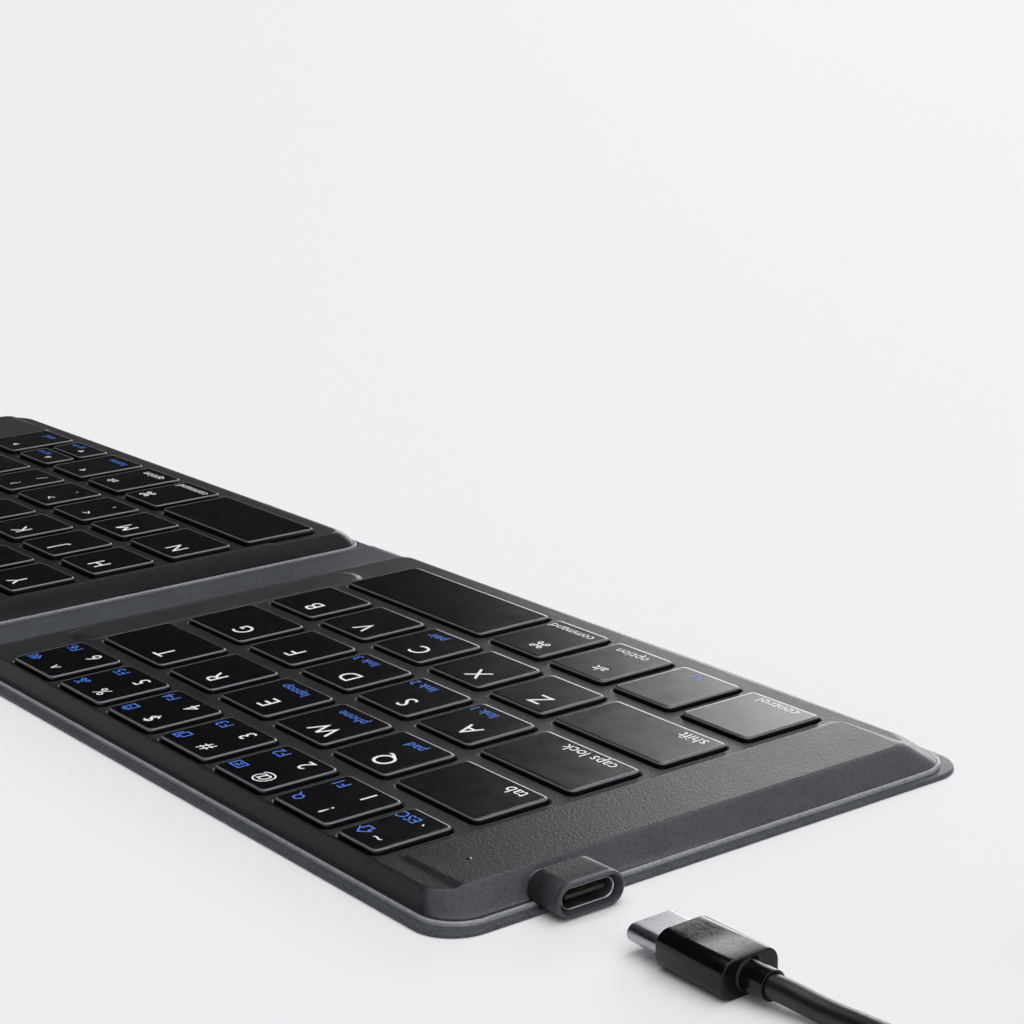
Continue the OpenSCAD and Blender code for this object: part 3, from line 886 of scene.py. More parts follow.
def parts_along(points: np.ndarray, axis: int) -> list[np.ndarray]:
    """Parts points into keys along one axis, where a gap is as wide as one between two keys.

    Args:
        points: The points, N by 3.
        axis: 0 for X, 1 for Y.

    Returns:
        The parts, in rising order.
    """
    values = np.unique(np.round(points[:, axis], 3))
    gaps = np.diff(values)
    between = (gaps > KEY_GAPS[0]) & (gaps < KEY_GAPS[1])
    edges = [-np.inf, *((values[:-1] + values[1:]) / 2)[between], np.inf]
    return [points[(points[:, axis] > a) & (points[:, axis] <= b)]
            for a, b in zip(edges, edges[1:])]


def keys_of(node: bpy.types.Object) -> list[Key]:
    """Gives the keys that a CAD node holds.

    Args:
        node: The CAD node.

    Returns:
        Its keys, from left to right, and in one column from rear to front.
    """
    keys: list[Key] = []
    for column in parts_along(points_of(node.data) / MM, 0):
        for part in reversed(parts_along(column, 1)):
            low, high = part.min(0), part.max(0)
            keys.append(Key(Plan.of(low, high, (KEY_RADIUS,) * 4), low[2], high[2], node.name))
    return keys


def by_node(keys: Sequence[Key]) -> dict[str, list[Key]]:
    """Gives the keys of each CAD node, in the keys' order."""
    return {node: [key for key in keys if key.node == node]
            for node in dict.fromkeys(key.node for key in keys)}


@dataclass(frozen=True)
class KeyCaps:
    """The keys' caps: hollow, with a facet round each top that is painted light as a painted highlight.
    """

    facet: float = 0.2
    skirt: float = 0.8
    roof: float = 0.9
    foot_round: float = 0.1
    inner_round: float = 0.15
    sampling: Sampling = Sampling(6, 6, 7)

    def contours(self, key: Key) -> tuple[list[Contour], ...]:
        """Gives a cap's rings in three runs: skirt and walls, facet, and top.

        Args:
            key: The key.

        Returns:
            The runs, each from its lowest ring in or up.
        """
        inner, shoulder = key.top - self.roof, key.top - self.facet
        wall, bevel = Contour(0.0, shoulder - 0.06), Contour(self.facet - 0.02, key.top - 0.03)
        lower = [Contour(self.skirt + 0.1, inner), Contour(self.skirt, inner - self.inner_round),
                 Contour(self.skirt, key.foot), Contour(0.08, key.foot),
                 Contour(0.0, key.foot + self.foot_round), wall]
        upper = [bevel, Contour(self.facet + 0.05, key.top), Contour(self.facet + 0.3, key.top)]
        return lower, [wall, Contour(0.015, shoulder), bevel], upper

    def build(self, node: str, keys: Sequence[Key]) -> bpy.types.Object:
        """Makes the piece that stands for one CAD node.

        Args:
            node: The CAD node, which is also its body.
            keys: The keys that it holds.

        Returns:
            The piece.
        """
        builder = MeshBuilder()
        for key in keys:
            for n, contours in enumerate(self.contours(key)):
                rings = [key.plan.ring(c.inset, c.z, self.sampling) for c in contours]
                # Slot 1, the facet, is painted light as a painted highlight.
                builder.rings(rings, n % 2)
                if n == 0:
                    builder.cap(rings[0], up=False)
            builder.cap(rings[-1])
        piece = builder.build(f"cap_{node}", [KEYCAP, CAP_FACET_PAINTED_HIGHLIGHT])
        return mounted(piece, node, "keycap_plastic", node)


# ---------------------------------------------------------------- lettering


@dataclass(frozen=True)
class Mark:
    """One sign on a key: a word, or one of the icons.

    across is measured from the key's left side, or from its right side where below 0, and
    down from its rear, or from its front where below 0. size is the height of a capital.
    """

    sign: str
    across: float
    down: float
    size: float
    blue: bool = False

    def middle(self, plan: Plan) -> np.ndarray:
        """Gives where the sign's middle lies on a key's plan."""
        return np.array([(plan.x0 if self.across >= 0 else plan.x1) + self.across,
                         (plan.y1 if self.down >= 0 else plan.y0) - self.down])


Marks = tuple[Mark, ...]


def letter(sign: str, under: str = "", across: float = 6.6) -> Marks:
    """Gives a letter key's signs: a capital, and a small blue word near the front, if any."""
    marks = (Mark(sign, 5.2, 3.9, 3.5),)
    return marks + (Mark(under, across, 10.3, 1.9, True),) if under else marks


def digit(upper: str, lower: str, icon: str, function: str) -> Marks:
    """Gives a number key's signs: two white on the left, and two blue on the right."""
    return (Mark(upper, 4.4, 2.9, 2.6), Mark(lower, 4.4, 10.0, 2.8),
            Mark(icon, -2.3, 2.9, 2.5, True), Mark(function, -2.4, 10.0, 2.1, True))


def pair(upper: str, lower: str) -> Marks:
    """Gives a punctuation key's signs."""
    return Mark(upper, 4.7, 3.4, 2.3), Mark(lower, 4.7, 9.6, 2.3)


LEGENDS: dict[str, list[Marks]] = {
    "key_tilde": [(Mark("~", 3.4, 2.7, 2.3), Mark("`", 3.1, 10.0, 2.3),
                   Mark("house", -2.2, 3.1, 2.7, True), Mark("ESC", -2.5, 10.1, 1.9, True))],
    "key_1": [digit("!", "1", "search", "F1")],
    "key_2": [digit("@", "2", "select", "F2")],
    "key_3": [digit("#", "3", "copy", "F3")],
    "key_4": [digit("$", "4", "paste", "F4")],
    "key_5": [digit("%", "5", "cut", "F5")],
    "key_6": [digit("^", "6", "rewind", "F6")],
    "key_tab": [(Mark("tab", 4.9, -2.5, 2.3),)],
    "key_q": [letter("Q", "pad")],
    "key_w": [letter("W", "phone", 7.2)],
    "key_e": [letter("E", "laptop", 7.4)],
    "key_caps_lock": [(Mark("caps lock", 9.3, -2.0, 2.15),)],
    "key_a": [letter("A", "link 1", 9.8)],
    "key_s": [letter("S", "link 2", 9.8)],
    "key_d": [letter("D", "link 3", 9.8)],
    "key_left_shift": [(Mark("shift", 5.2, -2.5, 2.3),)],
    "key_c": [letter("C", "pair", 9.0)],
    **{f"key_{name}": [letter(name.upper())] for name in "rtfgzxvb"},
    "key_control": [(Mark("control", 7.4, -2.1, 2.0),)],
    "key_fn": [(Mark("fn", 7.9, -2.3, 2.0, True),)],
    "key_left_option": [(Mark("alt", 5.3, 3.8, 2.1), Mark("option", 7.3, -2.6, 2.0))],
    "key_left_command": [(Mark("loops", 5.0, 4.1, 2.9), Mark("command", 7.3, -2.6, 1.9))],
    "right_number_row_keys": [
        digit("&", "7", "play", "F7"), digit("*", "8", "forward", "F8"),
        digit("(", "9", "silent", "F9"), digit(")", "0", "quiet", "F10"),
        digit("_", "-", "loud", "F11"), digit("+", "=", "lock", "F12"),
        (Mark("back", 11.4, 10.2, 2.1),)],
    "right_upper_row_keys": [*(letter(c) for c in "YUIOP"), pair("{", "["), pair("}", "]")],
    "right_home_row_keys": [*(letter(c) for c in "HJKL"), pair(":", ";"), pair("\"", "'"),
                            (Mark("enter", 11.2, 10.2, 2.1),)],
    "right_lower_row_keys": [letter("N"), letter("M"), pair("<", ","), pair(">", "."),
                             pair("?", "/"), (Mark("shift", -5.4, -2.5, 2.3),)],
    "right_front_row_keys": [
        (), (Mark("loops", 9.8, 3.6, 2.9), Mark("command", 6.8, -2.8, 1.9)),
        (Mark("alt", 8.8, 3.4, 2.1), Mark("option", 6.6, -2.8, 2.0)),
        (Mark("left", 5.2, 3.2, 1.7), Mark("home", 6.2, -3.2, 2.0, True)),
        (Mark("up", 5.0, 2.9, 1.7), Mark("pg up", 9.6, 4.6, 1.5, True)),
        (Mark("down", 5.0, 2.9, 1.7), Mark("pg dn", 9.6, 4.6, 1.5, True)),
        (Mark("right", 5.2, 3.2, 1.7), Mark("end", 6.2, -3.2, 1.9, True))]}


ARC_STEP = 20.0


def arc(x: float, y: float, radius: float, start: float = 0.0, end: float = 360.0) -> np.ndarray:
    """Gives the points of an arc round (x, y), with its angles in degrees."""
    turn = np.radians(np.linspace(start, end, max(4, round(abs(end - start) / ARC_STEP)) + 1))
    return np.column_stack([x + radius * np.cos(turn), y + radius * np.sin(turn)])


def closed(*points: tuple[float, float]) -> list[tuple[float, float]]:
    """Gives the line through points and back to the first."""
    return [*points, points[0]]


def box_line(x0: float, y0: float, x1: float, y1: float) -> list[tuple[float, float]]:
    """Gives the closed line round a rectangle."""
    return closed((x0, y0), (x1, y0), (x1, y1), (x0, y1))


SPEAKER = closed((-0.9, -0.25), (-0.55, -0.25), (-0.15, -0.65), (-0.15, 0.65), (-0.55, 0.25),
                 (-0.9, 0.25))
TRIANGLE = closed((-0.45, -0.7), (0.65, 0.0), (-0.45, 0.7))
# Each icon's lines, in a square from -1 to 1
ICONS: dict[str, list[Sequence]] = {
    "house": [closed((-0.5, -0.1), (-0.95, -0.1), (0, 0.85), (0.95, -0.1), (0.5, -0.1),
                     (0.5, -0.85), (-0.5, -0.85))],
    "search": [arc(-0.2, 0.2, 0.6), [(0.24, -0.24), (0.85, -0.85)]],
    "select": [box_line(-1.0, -0.7, 1.0, 0.7), [(-0.5, 0.2), (0.5, 0.2)],
               [(-0.5, -0.25), (0.2, -0.25)]],
    "copy": [box_line(-0.8, -0.9, 0.35, 0.45),
             [(-0.3, 0.45), (-0.3, 0.9), (0.85, 0.9), (0.85, -0.4), (0.35, -0.4)]],
    "paste": [box_line(-0.7, -0.9, 0.7, 0.7), box_line(-0.3, 0.55, 0.3, 0.95),
              [(-0.3, 0.0), (0.3, 0.0)]],
    "cut": [arc(-0.5, -0.6, 0.3), arc(0.5, -0.6, 0.3), [(-0.35, -0.35), (0.5, 0.9)],
            [(0.35, -0.35), (-0.5, 0.9)]],
    "rewind": [closed((-0.1, -0.7), (-0.95, 0), (-0.1, 0.7)),
               closed((0.85, -0.7), (0.0, 0), (0.85, 0.7))],
    "forward": [closed((0.1, -0.7), (0.95, 0), (0.1, 0.7)),
                closed((-0.85, -0.7), (0.0, 0), (-0.85, 0.7))],
    "play": [closed((-0.9, -0.7), (0.1, 0), (-0.9, 0.7)), [(0.4, -0.7), (0.4, 0.7)],
             [(0.85, -0.7), (0.85, 0.7)]],
    "silent": [SPEAKER, [(0.25, -0.4), (0.9, 0.4)], [(0.25, 0.4), (0.9, -0.4)]],
    "quiet": [SPEAKER, arc(-0.1, 0.0, 0.5, -50, 50)],
    "loud": [SPEAKER, arc(-0.1, 0.0, 0.5, -50, 50), arc(-0.1, 0.0, 0.95, -50, 50)],
    "lock": [box_line(-0.65, -0.85, 0.65, 0.1),
             [(-0.4, 0.1), *arc(0.0, 0.4, 0.4, 180, 0), (0.4, 0.1)]],
    "loops": [box_line(-0.35, -0.35, 0.35, 0.35), *(
        arc(0.62 * x, 0.62 * y, 0.27) for x, y in ((1, 1), (-1, 1), (-1, -1), (1, -1)))],
    "right": [TRIANGLE],
    "left": [[(-x, y) for x, y in TRIANGLE]],
    "up": [[(-y, x) for x, y in TRIANGLE]],
    "down": [[(y, -x) for x, y in TRIANGLE]]}


@functools.cache
def word_shape(text: str) -> tuple[np.ndarray, list[list[int]]]:
    """Gives a word as flat faces.

    Args:
        text: The word.

    Returns:
        Its points, N by 2, with the word's middle at 0, and its faces.
    """
    curve = bpy.data.curves.new(text, "FONT")
    curve.body, curve.resolution_u, curve.fill_mode = text, 3, "FRONT"
    holder = bpy.data.objects.new(text, curve)
    mesh = holder.to_mesh()
    points = points_of(mesh)[:, :2]
    faces = [list(face.vertices) for face in mesh.polygons]
    holder.to_mesh_clear()
    bpy.data.objects.remove(holder)
    bpy.data.curves.remove(curve)
    return points - (points.min(0) + points.max(0)) / 2, faces


@dataclass(frozen=True)
class Legends:
    """The keys' lettering: thin ink, a little above each cap."""

    lift: float = 0.012
    stroke: float = 0.3
    least_cosine: float = 0.45

    def line_shape(self, line: Sequence, width: float) -> tuple[np.ndarray, list[list[int]]]:
        """Gives a line its width.

        At each point the two sides lie half the width away, square to the mean of the two
        directions there, and further out where the line bends more.

        Args:
            line: The points, N by 2; the line is closed where the last is the first.
            width: The line's width.

        Returns:
            The points of the left side and then the right, and the faces between them.
        """
        p = np.asarray(line, float)
        meets = bool(np.allclose(p[0], p[-1]))
        ahead = np.diff(p, axis=0)
        ahead /= np.linalg.norm(ahead, axis=1)[:, None]
        before = np.vstack([ahead[-1] if meets else ahead[0], ahead])
        after = np.vstack([ahead, ahead[0] if meets else ahead[-1]])
        side = before + after
        side /= np.linalg.norm(side, axis=1)[:, None]
        stretch = 1 / np.maximum((side * after).sum(1), self.least_cosine)
        out = np.column_stack([-side[:, 1], side[:, 0]]) * (stretch * width / 2)[:, None]
        n = len(p)
        faces = [[n + i, n + i + 1, i + 1, i] for i in range(n - 1)]
        return np.vstack([p + out, p - out]), faces

    def shapes(self, mark: Mark) -> Iterator[tuple[np.ndarray, list[list[int]]]]:
        """Gives a sign's parts.

        Args:
            mark: The sign.

        Yields:
            Each part's points in millimetres from the sign's middle, and its faces.
        """
        if mark.sign in ICONS:
            for line in ICONS[mark.sign]:
                points, faces = self.line_shape(line, 2 * self.stroke / mark.size)
                yield points * mark.size / 2, faces
        else:
            points, faces = word_shape(mark.sign)
            capital = float(np.ptp(word_shape("H")[0][:, 1]))
            yield points * mark.size / capital, faces

    def build(self, node: str, keys: Sequence[Key]) -> list[bpy.types.Object]:
        """Makes the lettering of the keys in one CAD node.

        Args:
            node: The CAD node, which is also its body.
            keys: The keys that it holds.

        Returns:
            The piece, if any of the keys has lettering.
        """
        builder = MeshBuilder()
        for key, marks in zip(keys, LEGENDS.get(node, ())):
            for mark in marks:
                for points, faces in self.shapes(mark):
                    outline = with_height(points + mark.middle(key.plan), key.top + self.lift)
                    builder.add(outline, faces, int(mark.blue))
        if not builder.count:
            return []
        piece = builder.build(f"print_{node}", [WHITE_INK, BLUE_INK])
        return [mounted(piece, node, "keycap_plastic")]


# ---------------------------------------------------------------- the case


@dataclass(frozen=True)
class Pad:
    """A raised field of the deck: its outline half-way up, and the width of its edge."""

    plan: Plan
    edge: float

    def level(self, x: np.ndarray, y: np.ndarray) -> np.ndarray:
        """Gives the pad's share of its full height: a smooth step across its outline."""
        return smooth(0.5 - self.plan.distance(x, y) / self.edge)


@dataclass(frozen=True)
class Borders:
    """The widths of a half's sloping borders, and its corners' radii at the lip and the deck."""

    left: float
    right: float
    front: float
    rear: float
    lip_radii: Radii
    deck_radii: Radii


BORDERS = {
    Half.LEFT: Borders(3.8, 9.5, 5.2, 2.1, (5.0, 6.6, 6.6, 5.0), (2.6, 4.6, 6.4, 2.6)),
    Half.RIGHT: Borders(1.6, 3.8, 5.2, 2.1, (6.6, 5.0, 5.0, 6.6), (4.6, 3.0, 3.0, 6.4))}
PADS = {
    Half.LEFT: (Pad(Plan(-220, -133.7, -39.3, 41.7, (1.6,) * 4), 0.95),
                Pad(Plan(-23.6, -16.6, -27.0, 30.2, (3.0,) * 4), 1.1)),
    Half.RIGHT: (Pad(Plan(126.8, 220, -39.3, 41.7, (1.6,) * 4), 0.95),
                 Pad(Plan(6.4, 8.9, -27.0, 30.2, (1.2,) * 4), 0.8))}
DECK_Z = 4.5
PAD_RISE = 0.4
PORT_Y = 27.4
PORT_Z = 2.6
MOUTH_X = -156.5
BARREL_W = 11.2
BARREL_H = 4.9
BARREL_L = 6.4


def bar_plan(width: float, height: float, radius: float, y: float = PORT_Y,
             z: float = PORT_Z) -> Plan:
    """Gives the plan, in Y and Z, of a bar along X.

    Args:
        width: Its width along Y.
        height: Its height.
        radius: Its corners' radius.
        y: Its middle along Y.
        z: Its middle's height.

    Returns:
        The plan, with Y in place of X and Z in place of Y.
    """
    return Plan(y - width / 2, y + width / 2, z - height / 2, z + height / 2, (radius,) * 4)


BARREL_PLAN = bar_plan(BARREL_W, BARREL_H, BARREL_H / 2)


@dataclass(frozen=True)
class UpperShell:
    """The covered upper shell of one half: lip, sloping borders, deck, pads and windows."""

    half: Half
    keys: Sequence[Key]
    lip_z: float = 1.3
    welt_radius: float = 0.26
    welt_width: float = 0.42
    groove_width: float = 0.13
    border_steps: int = 16
    border_power: float = 1.35
    front_power: float = 0.45
    deck_steps: int = 40
    window_edge: float = 0.25
    window_flat: float = 0.12
    window_wall_z: float = 3.5
    well_floor_z: float = 1.45
    port_margin: float = 0.45
    port_end: float = 0.3
    sampling: Sampling = Sampling(110, 160, 14, 0.7)
    window_sampling: Sampling = Sampling(8, 8, 8)

    @property
    def node(self) -> str:
        """The CAD node that the shell stands for."""
        return f"{self.half.prefix}_top_shell"

    @functools.cached_property
    def extent(self) -> Extent:
        """The CAD node's box."""
        return Extent.of(self.node)

    @functools.cached_property
    def lip(self) -> Plan:
        """The wall's outline."""
        return Plan.of(self.extent.low, self.extent.high, BORDERS[self.half].lip_radii)

    @functools.cached_property
    def deck(self) -> Plan:
        """The outline of the deck, inside the sloping borders."""
        b = BORDERS[self.half]
        return self.lip.inset(b.left, b.right, b.front, b.rear, b.deck_radii)

    @functools.cached_property
    def block(self) -> Plan:
        """The outline round all the keys, with a margin on each side.

        Returns:
            The outline, where the flat deck with its windows begins.
        """
        near, far, front, rear, radius = 0.9, 0.5, 0.9, 0.55, 0.3
        left, right = (near, far) if self.half is Half.LEFT else (far, near)
        plans = [key.plan for key in self.keys]
        return Plan(min(p.x0 for p in plans) - left, max(p.x1 for p in plans) + right,
                    min(p.y0 for p in plans) - front, max(p.y1 for p in plans) + rear,
                    (radius,) * 4)

    def height(self, x: np.ndarray, y: np.ndarray) -> np.ndarray:
        """Gives the deck's height: flat, plus the highest of the pads' levels."""
        return DECK_Z + PAD_RISE * np.max([pad.level(x, y) for pad in PADS[self.half]], axis=0)

    def in_port(self, points: np.ndarray) -> np.ndarray:
        """Tells which points lie well inside the socket's barrel."""
        inside = BARREL_PLAN.distance(points[:, 1], points[:, 2]) < -self.port_margin
        return inside & (points[:, 0] < MOUTH_X + BARREL_L - self.port_end)

    def welt_rings(self) -> list[np.ndarray]:
        """Gives the rings of the rolled edge, a quarter circle between the wall and the lip.

        Returns:
            The rings, from the foot of the wall inwards over the lip.
        """
        foot = float(self.extent.low[2])
        contours = [Contour(0.0, foot), *fillet(self.lip_z, self.welt_radius, 5),
                    Contour(self.welt_width, self.lip_z)]
        return [self.lip.ring(c.inset, c.z, self.sampling) for c in contours]

    def border_rings(self) -> list[np.ndarray]:
        """Gives the rings from the welt up to the deck's edge.

        Between the lip and the deck a point goes straight from one outline to the other,
        and its height follows the smooth step of its share of the way to border_power, so
        that the border rises slowly at first. The front border is round at its top instead:
        there the height follows the smooth step to front_power.

        Returns:
            The rings, each N by 3.
        """
        rings = [self.lip.ring(self.welt_width, self.lip_z, self.sampling)]
        start = self.lip.shrunk(self.welt_width + self.groove_width).outline(self.sampling)
        end = self.deck.outline(self.sampling)
        way = start - end
        front = np.clip(-way[:, 1] / np.linalg.norm(way, axis=1), 0, 1) ** 2
        top = self.height(end[:, 0], end[:, 1])
        for t in np.linspace(0, 1, self.border_steps):
            share = (1 - front) * smooth(t ** self.border_power) + front * smooth(t) ** self.front_power
            rings.append(with_height(start + (end - start) * t,
                                     self.lip_z + (top - self.lip_z) * share))
        return rings

    def deck_rings(self) -> list[np.ndarray]:
        """Gives the rings from the deck's edge to the block of keys.

        A point goes straight from one outline to the other, at the deck's height.

        Returns:
            The rings, each N by 3.
        """
        start, end = self.deck.outline(self.sampling), self.block.outline(self.sampling)
        rings = []
        for t in np.linspace(0, 1, self.deck_steps)[1:]:
            flat = start + (end - start) * t
            rings.append(with_height(flat, self.height(flat[:, 0], flat[:, 1])))
        return rings

    def rows(self) -> list[list[Plan]]:
        """Gives the keys' plans in rows.

        A key joins the last row where its front side lies no further forward than that row's.

        Returns:
            The rows, from rear to front.
        """
        rows: list[list[Plan]] = []
        for plan in sorted((key.plan for key in self.keys), key=lambda p: -p.y1):
            if rows and plan.y0 >= min(p.y0 for p in rows[-1]) - 0.01:
                rows[-1].append(plan)
            else:
                rows.append([plan])
        return rows

    def cells(self) -> dict[Plan, Plan]:
        """Gives the rectangle of deck round each key, half-way to its neighbours.

        Returns:
            The rectangles, by the keys' plans.
        """
        rows = self.rows()
        fronts = [min(p.y0 for p in row) for row in rows]
        rears = [max(p.y1 for p in row) for row in rows]
        middles = [(rear + front) / 2 for rear, front in zip(rears[1:], fronts)]
        edges = [self.block.y1, *middles, self.block.y0]
        cells = {}
        for row, top, low in zip(rows, edges, edges[1:]):
            for plan in row:
                left = [p.x1 for p in row if p.x1 < plan.x0]
                right = [p.x0 for p in row if p.x0 > plan.x1]
                behind = [p.y0 for p in row if p.y0 > plan.y1]
                before = [p.y1 for p in row if p.y1 < plan.y0]
                cells[plan] = Plan(
                    (max(left) + plan.x0) / 2 if left else self.block.x0,
                    (min(right) + plan.x1) / 2 if right else self.block.x1,
                    (max(before) + plan.y0) / 2 if before else low,
                    (min(behind) + plan.y1) / 2 if behind else top, (0.0,) * 4)
        return cells

    def add_window(self, builder: MeshBuilder, window: Plan, cell: Plan) -> None:
        """Adds one key's piece of deck, its window's rolled edge and its well.

        The edge's ring at an angle lies outside the window by its radius times one less the
        sine, and below the deck by its radius times one less the cosine.

        Args:
            builder: Where it goes.
            window: The window's outline.
            cell: The outline of the piece of deck.
        """
        s, edge = self.window_sampling, self.window_edge
        rings = [with_height(cell.outline(s), DECK_Z),
                 window.ring(-edge - self.window_flat, DECK_Z, s)]
        for turn in np.linspace(0, np.pi / 2, 6):
            rings.append(window.ring(-edge * (1 - math.sin(turn)),
                                     DECK_Z - edge * (1 - math.cos(turn)), s))
        rings.append(window.ring(0.0, self.window_wall_z, s))
        builder.rings(rings, 0)
        builder.rings([rings[-1], window.ring(0.0, self.well_floor_z, s)], 1)

    def build(self) -> list[bpy.types.Object]:
        """Makes the piece, without the quads whose middles lie inside the barrel.

        Returns:
            The piece.
        """
        builder = MeshBuilder()
        # Slot 2, the rolled edge at the lip, is painted pale as a painted highlight line.
        for slot, rings in ((2, self.welt_rings()), (0, self.border_rings() + self.deck_rings())):
            grid = np.stack(rings)
            middle = (grid[:-1] + np.roll(grid, -1, 1)[1:]) / 2
            builder.rings(rings, slot, keep=~self.in_port(middle.reshape(-1, 3)))
        windows = {key.plan: key.window for key in self.keys}
        for plan, cell in self.cells().items():
            self.add_window(builder, windows[plan], cell)
        piece = builder.build(f"{self.node}_covered", [COVERING, WELL, WELT_PAINTED_HIGHLIGHT])
        return [mounted(piece, self.half.body, "covering", self.node)]


@dataclass(frozen=True)
class Base:
    """The covered underside of one half, which ends in a thin flange round the shell."""

    half: Half
    end_radius: float = 6.6
    fold_radius: float = 0.5
    foot_radius: float = 0.2
    top_radius: float = 0.28
    foot_flat: float = 0.6
    top_flat: float = 0.8
    sampling: Sampling = Sampling(60, 40, 20, 0.3)

    def build(self) -> list[bpy.types.Object]:
        """Makes the piece: insets of one plan, with both edges rounded.

        Returns:
            The piece.
        """
        node = f"{self.half.prefix}_base"
        extent = Extent.of(node)
        end, fold = self.end_radius, self.fold_radius
        radii = (fold, end, end, fold) if self.half is Half.LEFT else (end, fold, fold, end)
        low, high = float(extent.low[2]), float(extent.high[2])
        contours = [Contour(self.foot_flat, low), *fillet(low, self.foot_radius, 4, top=False),
                    *fillet(high, self.top_radius, 5), Contour(self.top_flat, high)]
        builder = MeshBuilder()
        block(builder, Plan.of(extent.low, extent.high, radii), contours, self.sampling)
        piece = builder.build(f"{node}_covered", [UNDERSIDE])
        return [mounted(piece, self.half.body, "underside_covering", node)]


@dataclass(frozen=True)
class Spine:
    """The soft strip between the two creases, thinner along both creases."""

    node: str = "spine"
    steps: int = 120
    points_across: int = 25
    crease_share: float = 0.1
    crease_thickness: float = 0.25
    end_round: float = 0.5
    end_thickness: float = 0.55

    def section(self, half_w: float, top: float) -> np.ndarray:
        """Gives the strip's closed section.

        Its thickness is full across the middle and falls to crease_thickness over the outer
        crease_share of each side, as a quarter of an ellipse.

        Args:
            half_w: Half its width.
            top: Its full thickness.

        Returns:
            Points in X and Z, N by 2.
        """
        across = np.linspace(-1, 1, self.points_across)
        into = np.clip((np.abs(across) - 1 + self.crease_share) / self.crease_share, 0, 1)
        edge = np.sqrt(np.clip(1 - into ** 2, 0, 1))
        thick = top / 2 * (self.crease_thickness + (1 - self.crease_thickness) * edge)
        upper = np.column_stack([across * half_w, top / 2 + thick])
        lower = np.column_stack([across * half_w, top / 2 - thick])[::-1]
        return np.vstack([upper, lower])

    def build(self) -> list[bpy.types.Object]:
        """Makes the piece: its section, repeated along Y and squeezed at both ends.

        The squeeze near an end rises as a quarter of an ellipse over end_round millimetres.

        Returns:
            The piece.
        """
        extent = Extent.of(self.node)
        top, y0, y1 = float(extent.high[2]), float(extent.low[1]), float(extent.high[1])
        section = self.section(float(extent.high[0]), top)
        rings = []
        for share in np.linspace(0, 1, self.steps + 1):
            into = min(min(share, 1 - share) * (y1 - y0) / self.end_round, 1)
            squeeze = self.end_thickness + (1 - self.end_thickness) * math.sqrt(1 - (1 - into) ** 2)
            rings.append(np.column_stack([
                section[:, 0], np.full(len(section), y0 + (y1 - y0) * share),
                top / 2 + (section[:, 1] - top / 2) * squeeze]))
        builder = MeshBuilder()
        builder.rings(rings)
        builder.cap(rings[0], up=False)
        builder.cap(rings[-1])
        piece = builder.build(f"{self.node}_covered", [UNDERSIDE], 50.0)
        return [mounted(piece, self.node, "underside_covering", self.node)]


@dataclass(frozen=True)
class Indicator:
    """The indicator's small dark lens, near the charging socket."""

    x: float = -141.1
    y: float = 35.7
    radius: float = 0.42

    def build(self) -> list[bpy.types.Object]:
        """Makes the piece: a short round stud with a softened top.

        Returns:
            The piece.
        """
        z, r = DECK_Z + PAD_RISE, self.radius
        plan = Plan(self.x - r, self.x + r, self.y - r, self.y + r, (r - 0.001,) * 4)
        contours = [Contour(0.0, z - 0.3), Contour(0.0, z + 0.004), Contour(0.05, z + 0.03),
                    Contour(0.2, z + 0.04)]
        builder = MeshBuilder()
        block(builder, plan, contours, Sampling(1, 1, 6), floor=False)
        piece = builder.build("indicator_lens", [LENS])
        return [mounted(piece, Half.LEFT.body, "barrel_plastic")]


# ---------------------------------------------------------------- the charging socket


def bar_rings(plan: Plan, path: Profile, sampling: Sampling) -> list[np.ndarray]:
    """Gives rings square to X.

    Args:
        plan: Their outline, in Y and Z.
        path: Each ring's inset from the plan, and its X.
        sampling: The outline's segments.

    Returns:
        The rings, each N by 3.
    """
    flats = [(plan.shrunk(inset).outline(sampling), x) for inset, x in path]
    return [np.column_stack([np.full(len(flat), x), flat]) for flat, x in flats]


